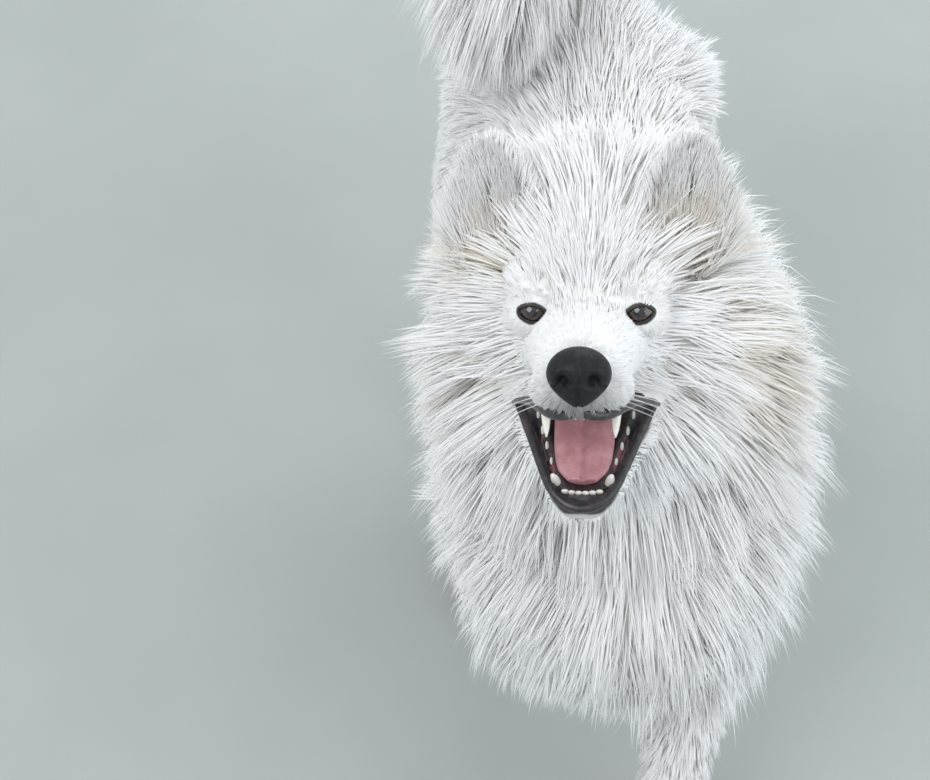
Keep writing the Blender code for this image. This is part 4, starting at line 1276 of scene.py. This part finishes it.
def coat_at(points, normals):
    """Flow, depth, lift and hair length of the coat at each point of the skin."""
    reach, flows, depths, lifts, lengths = [], [], [], [], []
    for form in FORMS:
        far, which = form.reach(points)
        family = form.name.split("_")[0]
        reach.append(far - form.coat[which] * SKIN_SHARE)
        flows.append(unit(flow_of(form, points, normals, which)))
        depths.append(depth_of(form, family, points, normals, which))
        lengths.append(depths[-1] * LENGTHS.get(family, 1.40))
        outer = np.clip(normals[:, 0], 0, 1)
        lifts.append(LIFTS.get(family, 0.25) + SIDE_LIFTS.get(family, 0) * outer)
    reach = np.array(reach)
    weight = np.exp(-(reach - reach.min(0)) / BLEND_REACH)
    weight /= weight.sum(0)
    flow = (weight[:, :, None] * np.array(flows)).sum(0)
    depth, lift, length = [(weight * np.array(rows)).sum(0) for rows in (depths, lifts, lengths)]
    return laid(flow, normals), depth, lift, length


# Tufts: how all the hair grows. Thin blades folded to a V start in the skin, stand off, bend
# over along the lie and lean together in clumps.
SHARE = 1.0
TRIANGLES_EACH = 190000
BARE_SPOTS = (
    (np.array((EYE_SIDE, 0, 0)), (0.0100, 0.014, 0.0064)),
    (np.array((-EYE_SIDE, 0, 0)), (0.0100, 0.014, 0.0064)),
    (np.array((0, 0.0850, -0.022)), (0.0165, 0.014, 0.0150)),
)
SOLE_HEIGHT = 0.02
GATHER = 0.30
SPREAD = 0.020
FLOOR_GAP = 0.0015
ROOT_DEPTH = 0.0015
MAP_SIZE = 0.0015
TAPERS = {2: (0.9, 0.8), 3: (0.85, 1.0, 0.62)}


def surface_table(obj):
    """Corners, normals, areas and unwrap of every triangle of a mesh."""
    mesh = obj.data
    mesh.calc_loop_triangles()
    corners = np.zeros(len(mesh.loop_triangles) * 3, np.int32)
    mesh.loop_triangles.foreach_get("vertices", corners)
    loops = np.zeros(len(corners), np.int32)
    mesh.loop_triangles.foreach_get("loops", loops)
    uv = np.zeros(len(mesh.loops) * 2, np.float32)
    mesh.uv_layers["OFBake"].data.foreach_get("uv", uv)
    points = points_of(obj)[corners.reshape(-1, 3)]
    normals = normals_of(obj)[corners.reshape(-1, 3)]
    across = np.cross(points[:, 1] - points[:, 0], points[:, 2] - points[:, 0])
    area = np.linalg.norm(across, axis=1) / 2
    return points, normals, area, uv.reshape(-1, 2)[loops.reshape(-1, 3)]


def scatter(table, weight, count):
    """Random points on a surface: places, normals and unwrap."""
    points, normals, area, uv = table
    chance = area * weight
    picked = np.sort(draw.choice(len(area), count, p=chance / chance.sum()))
    a, b = draw.random(count), draw.random(count)
    over = a + b > 1
    a[over], b[over] = 1 - a[over], 1 - b[over]
    parts = np.stack([1 - a - b, a, b], 1)[:, :, None]
    return (
        (points[picked] * parts).sum(1),
        unit((normals[picked] * parts).sum(1)),
        (uv[picked] * parts).sum(1),
    )


def spread_tufts(places, normals, flow, radius, each):
    """Roots of each clump's tufts, set round its middle on the skin, with normals and flow."""
    side = unit(np.cross(normals, flow))
    turn = draw.random((len(places), each)) * 2 * math.pi
    far = np.sqrt(draw.random((len(places), each))) * np.reshape(radius, (-1, 1))
    offset = side[:, None] * (np.cos(turn) * far)[:, :, None]
    offset += flow[:, None] * (np.sin(turn) * far)[:, :, None]
    roots = (places[:, None] + offset).reshape(-1, 3)
    return roots, np.repeat(normals, each, 0), np.repeat(flow, each, 0)


def swayed(flow, normals, sway):
    """A flow turned aside on the skin."""
    return unit(flow + np.cross(normals, flow) * sway[:, None])


def tuft_lines(roots, normals, flow, length, start, end, marks, fall):
    """Middles of the tufts at each mark, from a stiff rise to a lie that falls."""
    middle = roots - normals * ROOT_DEPTH
    lines = [middle]
    for low, high in zip(marks[:-1], marks[1:]):
        part = (low + high) / 2
        angle = np.broadcast_to(start + (end - start) * part**0.7, len(roots))
        way = flow * np.cos(angle)[:, None] + normals * np.sin(angle)[:, None]
        way = unit(way + np.reshape(fall, (-1, 1)) * np.array((0, 0, -part)))
        middle = middle + way * (length * (high - low))[:, None]
        lines.append(middle)
    return lines


def blade_points(lines, normals, wide, taper):
    """Three points across each mark of a folded blade, and one at its tip."""
    points = []
    for row, after, share in zip(lines[:-1], lines[1:], taper):
        way = unit(after - row)
        side = unit(np.cross(way, normals))
        half = (wide * share / 2)[:, None]
        points += [row + side * half, row - side * half, row + np.cross(side, way) * half * 0.7]
    points.append(lines[-1])
    stacked = np.stack(points, 1).reshape(-1, 3)
    stacked[:, 2] = np.maximum(stacked[:, 2], FLOOR_GAP)
    beyond = np.maximum(np.abs(stacked[:, 0]) - cad_high[0], 0)
    stacked[:, 0] -= np.sign(stacked[:, 0]) * (beyond - SPREAD * np.tanh(beyond / SPREAD))
    return stacked


def blade_faces(rings):
    """Faces of one folded blade, two for each length and side, and two at the tip."""
    faces = []
    for low in range(0, 3 * (rings - 1), 3):
        for i, j in ((0, 2), (2, 1)):
            faces += [(low + i, low + j, low + 3 + j), (low + i, low + 3 + j, low + 3 + i)]
    low = 3 * (rings - 1)
    faces += [(low, low + 2, low + 3), (low + 2, low + 1, low + 3)]
    return np.array(faces, np.int32)[:, ::-1]


def grow(name, roots, normals, flow, length, wide, start, end, uv, each, rings, gather, fall=0.0):
    """Builds tufts. Every clump of so many tufts leans to one tip."""
    count = len(roots)
    marks = np.linspace(0, 1, rings + 1)
    lines = tuft_lines(roots, normals, flow, length, start, end, marks, fall)
    tips = lines[-1].reshape(-1, each, 3)
    pull = ((tips.mean(1, keepdims=True) - tips) * gather).reshape(-1, 3)
    lines = [row + pull * mark**1.6 for row, mark in zip(lines, marks)]
    points = blade_points(lines, normals, wide, TAPERS[rings])
    faces = blade_faces(rings)
    corners = 3 * rings + 1
    from_root = np.concatenate([np.repeat(marks[:-1], 3), [1.0]])
    across = np.concatenate([np.tile((-1.0, 1.0, 0.0), rings), [0.0]])
    patch = np.stack([across, from_root * 2 - 1], 1) * MAP_SIZE
    cream, grey = markings(roots)
    tone = np.repeat(draw.random(count // each), each) * 0.6 + draw.random(count) * 0.4
    uv = np.repeat(uv, each, 0)
    made = []
    pieces = math.ceil(count / (TRIANGLES_EACH // len(faces)))
    bounds = np.linspace(0, count, pieces + 1).astype(int)
    for n, (low, high) in enumerate(zip(bounds[:-1], bounds[1:])):
        label = f"{name}_{n + 1}" if pieces > 1 else name
        firsts = np.arange(high - low) * corners
        own_faces = (faces[None] + firsts[:, None, None]).reshape(-1, 3)
        obj = mesh_object(label, points[low * corners : high * corners], own_faces)
        for key, values in (("cream", cream), ("grey", grey), ("tone", tone)):
            attribute(obj, key, np.repeat(values[low:high], corners))
        attribute(obj, "tip", np.tile(from_root, high - low))
        rows = (uv[low:high, None] + patch[None]).reshape(-1, 2)
        layer = obj.data.uv_layers.new(name="OFBake")
        corner = np.zeros(len(obj.data.loops), np.int32)
        obj.data.loops.foreach_get("vertex_index", corner)
        layer.data.foreach_set("uv", rows[corner].astype(np.float32).ravel())
        made.append(obj)
    return made


def blade_widths(wide, count):
    """Widths of blades, each a little different."""
    return wide * (0.7 + 0.6 * draw.random(count))


def on_skin():
    """Of each face of the skin: its middle in the head's frame, its coat's depth, and 1 if bare."""
    centres = table[0].mean(1)
    normals = unit(table[1].mean(1))
    local = local_head(centres)
    bare = in_mouth(centres, 1.02).astype(float)
    for middle, size in BARE_SPOTS:
        bare = np.maximum(bare, np.linalg.norm((local - middle) / size, axis=1) < 1)
    bare = np.maximum(bare, (normals[:, 2] < -0.6) & (centres[:, 2] < SOLE_HEIGHT))
    return local, coat_at(centres, normals)[1], bare


table = surface_table(skin)
face_local, face_depth, bare = on_skin()


# Long hair: the white outer coat of the body, ruff, thighs and tail, as locks of many blades.
# It is longest on the ruff and the tail, and shortens into the cheeks.
LONG_CLUMPS = int(5600 * SHARE)
LONG_EACH = 15
LONG_WIDE = 0.00125
LONG_GATHER = 0.28
CHEEKS = ((0, 0.010, -0.030), (0.060, 0.060, 0.055))


def coat_long():
    """Long hair of the body, ruff, thighs and tail, in locks."""
    weight = smooth_step(face_depth, 0.014, 0.030) * (1 - bare)
    places, normals, uv = scatter(table, weight, LONG_CLUMPS)
    order = np.argsort(places[:, 1] + places[:, 2] * 0.4)
    places, normals, uv = places[order], normals[order], uv[order]
    flow, depth, lift, length = coat_at(places, normals)
    roots, normals, flow = spread_tufts(places, normals, flow, 0.0045 + depth * 0.09, LONG_EACH)
    clumps, blades = len(places), len(roots)
    sway = np.repeat(draw.normal(0, 0.16, clumps), LONG_EACH) + draw.normal(0, 0.09, blades)
    flow = swayed(flow, normals, sway)
    length = np.repeat(length * (1 + draw.normal(0, 0.09, clumps)), LONG_EACH)
    length = length * (0.82 + 0.26 * draw.random(blades))
    start = np.repeat(0.40 + 1.02 * lift + 0.10 * draw.normal(0, 1, clumps), LONG_EACH)
    end = np.repeat(lift - 0.12 + 0.08 * draw.normal(0, 1, clumps), LONG_EACH)
    start = start + 0.14 * draw.normal(0, 1, blades)
    wide = blade_widths(LONG_WIDE, blades)
    cheek = np.repeat(near(local_head(places), *CHEEKS), LONG_EACH)
    length = length * (1 - 0.50 * cheek)
    wide = wide * (1 - 0.45 * cheek)
    start = start * (1 - 0.35 * cheek)
    fall = 0.45 * smooth_step(length, 0.03, 0.08)
    made = (roots, normals, flow, length, wide, start, end, uv, LONG_EACH, 3, LONG_GATHER, fall)
    return grow("coat_long", *made)


def coated(pieces):
    """Gives tufts the coat's finish."""
    for piece in pieces:
        part_of(piece, coat_material, "white_coat")


coated(coat_long())


# Short hair: the close fur of the face, legs and feet, finest on the muzzle and round the
# eyes, grown from the same skin in smaller tufts.
SHORT_CLUMPS = int(9000 * SHARE)
SHORT_EACH = 8
FACE_SHARE = 3.2


def coat_short():
    """Short hair of the face, legs and feet, finest on the muzzle."""
    weight = (1 - smooth_step(face_depth, 0.018, 0.034)) * (1 - bare)
    weight = weight * (0.35 + 0.65 * np.exp(-face_depth / 0.008))
    on_face = (face_local[:, 1] > -0.09) & (np.linalg.norm(face_local, axis=1) < 0.16)
    weight = weight * np.where(on_face, FACE_SHARE, 1.0)
    places, normals, uv = scatter(table, weight, SHORT_CLUMPS)
    flow, depth, _, _ = coat_at(places, normals)
    roots, normals, flow = spread_tufts(places, normals, flow, 0.0016 + depth * 0.10, SHORT_EACH)
    clumps, blades = len(places), len(roots)
    sway = np.repeat(draw.normal(0, 0.14, clumps), SHORT_EACH) + draw.normal(0, 0.10, blades)
    flow = swayed(flow, normals, sway)
    local = local_head(places)
    to_eyes = [np.linalg.norm(local - (side * EYE_SIDE, 0, 0), axis=1) for side in (-1, 1)]
    to_eye = np.minimum(*to_eyes)
    length = (0.0035 + depth * 1.25) * np.clip(0.40 + (to_eye - 0.010) / 0.025, 0.40, 1)
    length = np.repeat(length * (1 + draw.normal(0, 0.10, clumps)), SHORT_EACH)
    length = length * (0.8 + 0.4 * draw.random(blades))
    shallow = np.repeat(np.minimum(depth, 0.02), SHORT_EACH)
    start = 0.62 + 14 * shallow
    end = 0.22 + 6 * shallow
    wide = blade_widths(np.repeat(0.00075 + depth * 0.030, SHORT_EACH), blades)
    made = (roots, normals, flow, length, wide, start, end, uv, SHORT_EACH, 2, GATHER)
    return grow("coat_short", *made)


coated(coat_short())


# Hair of the ears: short over the back and the rim of each ear, and longer in its cup, grown
# from the ears' own shells.
EAR_CLUMPS = int(1100 * SHARE)
EAR_EACH = 7
EAR_WIDE = 0.0010


def coat_ears():
    """Short hair over the back and rim of each ear, and longer hair in its cup."""
    made = []
    for side, ear in EARS.items():
        shell = surface_table(ear)
        places, normals, uv = scatter(shell, np.ones(len(shell[2])), EAR_CLUMPS)
        local = local_head(places)
        root, tip, axis, facing = ear_axes(side)
        up = np.clip(((local - root) @ axis) / np.linalg.norm(tip - root), 0, 1.1)
        away = unit(local - (root + np.outer(up, tip - root)))
        front = np.clip((normals @ HEAD_TURN) @ facing, 0, 1)
        flow = axis + away * (0.30 + 0.25 * (1 - front))[:, None] - np.outer(front * 0.1, facing)
        flow = laid(flow @ HEAD_TURN.T, normals)
        roots, normals, flow = spread_tufts(places, normals, flow, 0.003, EAR_EACH)
        flow = swayed(flow, normals, draw.normal(0, 0.2, len(roots)))
        length = 0.0078 + (0.013 + 0.016 * front) * (1 - up) + 0.003 * front
        length = np.repeat(length, EAR_EACH) * (0.8 + 0.4 * draw.random(len(roots)))
        wide = blade_widths(EAR_WIDE, len(roots))
        name = sided("coat_ear", side)
        made += grow(name, roots, normals, flow, length, wide, 0.8, 0.30, uv, EAR_EACH, 3, GATHER)
    return made


coated(coat_ears())


# Hair of the lids: the shortest of all, brushed away from the opening of each eye and grown
# from the lids' shells.
SHORT_RINGS = 2
BLADE_CORNERS = 3 * SHORT_RINGS + 1


def short_patch(name, obj, weight, count, each, flow_at, length_at, wide, rise, stain=0.0):
    """Short tufts over part of one piece. A share of them is stained dark."""
    shell = surface_table(obj)
    chance = weight(shell[0].mean(1), unit(shell[1].mean(1)))
    places, normals, uv = scatter(shell, chance, int(count * SHARE))
    flow = laid(flow_at(places), normals)
    roots, normals, flow = spread_tufts(places, normals, flow, 0.0016, each)
    length = np.repeat(length_at(places), each) * (0.75 + 0.5 * draw.random(len(roots)))
    flow = swayed(flow, normals, draw.normal(0, 0.22, len(roots)))
    width = blade_widths(wide, len(roots))
    made = grow(name, roots, normals, flow, length, width, rise, rise * 0.35, uv, each, SHORT_RINGS, 0.35)
    for piece in made:
        count = len(piece.data.vertices)
        stained = draw.random(count // BLADE_CORNERS) < stain
        grey = np.zeros(count, np.float32)
        layer = piece.data.attributes["grey"].data
        layer.foreach_get("value", grey)
        layer.foreach_set("value", np.maximum(grey, np.repeat(stained, BLADE_CORNERS)))
    return made


FRONT = HEAD_TURN[:, 1]
LID_RIM = 0.0018
LID_CLUMPS = 620
LID_EACH = 5
LID_HAIR = 0.0078
LID_WIDE = 0.0007
LID_RISE = 0.75


def coat_lids():
    """Very short hair over each lid, away from the opening."""
    made = []
    for side, shell in LIDS.items():
        middle = np.array((side * EYE_SIDE, EYE_DEPTH, 0))

        def weight(points, normals):
            """Only outside the rim, and not behind the ball."""
            local = local_head(points) - middle
            flat = np.hypot(local[:, 0] / (OPENING[0] + LID_RIM), local[:, 2] / (OPENING[1] + LID_RIM))
            return (flat > 1) & (local[:, 1] > -0.004) & ((normals @ FRONT) > -0.3)

        def flow_at(points):
            """Outward from the opening."""
            local = (local_head(points) - middle) * (1, 0.2, 1) + (0, -0.002, 0)
            return local @ HEAD_TURN.T

        def length_at(points):
            """The same length all over."""
            return np.full(len(points), LID_HAIR)

        name = sided("coat_lid", side)
        sizes = (LID_CLUMPS, LID_EACH, flow_at, length_at, LID_WIDE, LID_RISE)
        made += short_patch(name, shell, weight, *sizes)
    return made


coated(coat_lids())


# Hair of the chin: white fur under and beside the lower lip, longer toward the throat, with
# some dark tufts among it.
CHIN_CLUMPS = 900
CHIN_EACH = 6
CHIN_WIDE = 0.0009
CHIN_RISE = 0.60
CHIN_STAIN = 0.10


def coat_chin():
    """Hair under and beside the lower lip."""
    turn = np.array(JAW.to_3x3())
    back = JAW.inverted()

    def weight(points, normals):
        """Below the lip's edge, and on the outside."""
        local = moved(back, points)
        outside = (normals @ turn[:, 2]) < 0.35
        rim = np.interp(local[:, 1], [0.05, 0.10, 0.13], [0.001, -0.002, -0.004])
        return (local[:, 2] < rim) & outside & (local[:, 1] > 0.02)

    def flow_at(points):
        """Back to the throat, out to the sides and down."""
        way = np.tile((0.0, -0.55, -0.55), (len(points), 1))
        way[:, 0] = moved(back, points)[:, 0] * 9
        return way @ turn.T + DOWN * 0.5

    def length_at(points):
        """Longer toward the throat."""
        return 0.006 + 0.11 * np.clip(0.130 - moved(back, points)[:, 1], 0, 0.09)

    sizes = (CHIN_CLUMPS, CHIN_EACH, flow_at, length_at, CHIN_WIDE, CHIN_RISE, CHIN_STAIN)
    return short_patch("coat_chin", jaw, weight, *sizes)


coated(coat_chin())


# Claws: sixteen horn hooks, one on each toe, pale brown and clear of the floor. Each is a
# tapered tube bent downward, and all are one piece.
CLAW_RADIUS = 0.0030
CLAW_HEIGHT = 0.0155
CLAW_AHEAD = 0.022


def make_claws():
    """Sixteen claws in one piece."""
    made = []
    marks = np.linspace(0, 1, 8)
    for stations in LEGS.values():
        foot = np.array(stations[-1][:3]) + np.array(SHIFT)
        for x, y in TOES:
            root = np.array((foot[0] + x, foot[1] + y - CLAW_AHEAD, CLAW_HEIGHT))
            line = root + np.outer(marks, (x * 0.12, -0.0175, -0.0090))
            line[:, 2] += 0.0022 * np.sin(marks * math.pi)
            made.append(swept("claw", line, CLAW_RADIUS * np.sqrt(1.02 - marks), 10))
    paint = Paint("claws", 0.35, wet=0.2)
    shade = paint.noise(400.0, 2.0, 0.5, (1, 0.3, 1)).step(0.3, 0.7)
    paint.base(paint.mix(shade, colour(0.20, 0.16, 0.13), colour(0.42, 0.36, 0.30)))
    return part_of(joined("claws", made), paint.material, None)


make_claws()


# Pads: black bare cushions under the toes and behind them, pressed flat where they stand on
# the floor. They are squashed balls in one piece.
TOE_PAD = (0.0088, 0.0125)
FOOT_PAD = (0.0165, 0.0130)
PAD_HIGH = 0.0065
PAD_RISE = 0.0052


def make_pads():
    """Pads under the toes and feet."""
    points, faces = [], []
    for stations in LEGS.values():
        foot = np.array(stations[-1][:3]) + np.array(SHIFT)
        spots = [(x, y - 0.012, *TOE_PAD) for x, y in TOES] + [(0, 0.006, *FOOT_PAD)]
        for x, y, wide, deep in spots:
            ball = BALL_POINTS * (wide, deep, PAD_HIGH)
            ball[:, 2] = np.maximum(ball[:, 2] + PAD_RISE, 0.0)
            faces.append(BALL_FACES + len(points) * len(BALL_POINTS))
            points.append(ball + (foot[0] + x, foot[1] + y, 0.0))
    pads = mesh_object("pads", np.vstack(points), np.vstack(faces))
    return part_of(pads, dark_skin("pad_skin", 0.75, (0.020, 0.018, 0.018), 0.0), "nose_skin")


make_pads()


# Stage: a plain pale floor under three soft studio lights, with a pale sky all round.
# The floor is no piece of the dog.
bpy.ops.mesh.primitive_plane_add(size=8)
floor = bpy.context.object
floor.name = "floor"
floor_paint = Paint("floor", 0.85)
floor_paint.base(floor_paint.mottle(3.0, 3.0, 0.3, 0.7, (0.40, 0.42, 0.40), (0.43, 0.45, 0.43)))
floor.data.materials.append(floor_paint.material)


def area_light(name, place, target, size, power, tint):
    """A soft square light that looks at a point."""
    data = bpy.data.lights.new(name, "AREA")
    data.energy = power
    data.size = size
    data.color = tint
    light = bpy.data.objects.new(name, data)
    light.location = place
    light.rotation_mode = "QUATERNION"
    light.rotation_quaternion = (Vector(target) - Vector(place)).to_track_quat("-Z", "Y")
    bpy.context.scene.collection.objects.link(light)


area_light("key", (-1.6, -1.4, 3.0), (0, 0, 0.4), 1.8, 37, (1.0, 0.985, 0.96))
area_light("fill", (2.2, -1.0, 2.0), (0, 0, 0.4), 2.4, 26, (0.94, 0.97, 1.0))
area_light("back", (0.4, 2.4, 2.4), (0, 0, 0.5), 2.0, 34, (0.96, 0.98, 1.0))
world = bpy.data.worlds.new("studio")
world.use_nodes = True
world.node_tree.nodes["Background"].inputs["Color"].default_value = colour(0.80, 0.87, 0.94)
world.node_tree.nodes["Background"].inputs["Strength"].default_value = 0.90
bpy.context.scene.world = world


# Camera: the photo's viewpoint. Its place, its turns and its focal length in pixels were fitted to
# the eyes, nose, ears and outline.
CAMERA_PLACE = (-0.109038, -0.911641, 1.663448)
CAMERA_YAW = 0.0108061
CAMERA_PITCH = 0.933051
CAMERA_ROLL = 0.056967
CAMERA_PIXELS = 1900.0
WIDTH = 930
SENSOR = 36.0


def make_camera():
    """The photo's viewpoint, fitted to the frame of solids."""
    level = Vector((-math.sin(CAMERA_YAW), math.cos(CAMERA_YAW), 0))
    forward = level * math.cos(CAMERA_PITCH) - Vector((0, 0, math.sin(CAMERA_PITCH)))
    right = Vector((math.cos(CAMERA_YAW), math.sin(CAMERA_YAW), 0))
    up = right.cross(forward)
    across = right * math.cos(CAMERA_ROLL) + up * math.sin(CAMERA_ROLL)
    above = up * math.cos(CAMERA_ROLL) - right * math.sin(CAMERA_ROLL)
    data = bpy.data.cameras.new("camera")
    data.sensor_width = SENSOR
    data.lens = CAMERA_PIXELS / WIDTH * SENSOR
    data.clip_start = 0.01
    camera = bpy.data.objects.new("camera", data)
    turned = Matrix((across, above, -forward)).transposed().to_4x4()
    camera.matrix_world = Matrix.Translation(Vector(CAMERA_PLACE) + SHIFT) @ turned
    bpy.context.scene.collection.objects.link(camera)
    bpy.context.scene.camera = camera


make_camera()
bpy.context.scene.view_settings.view_transform = "Standard"
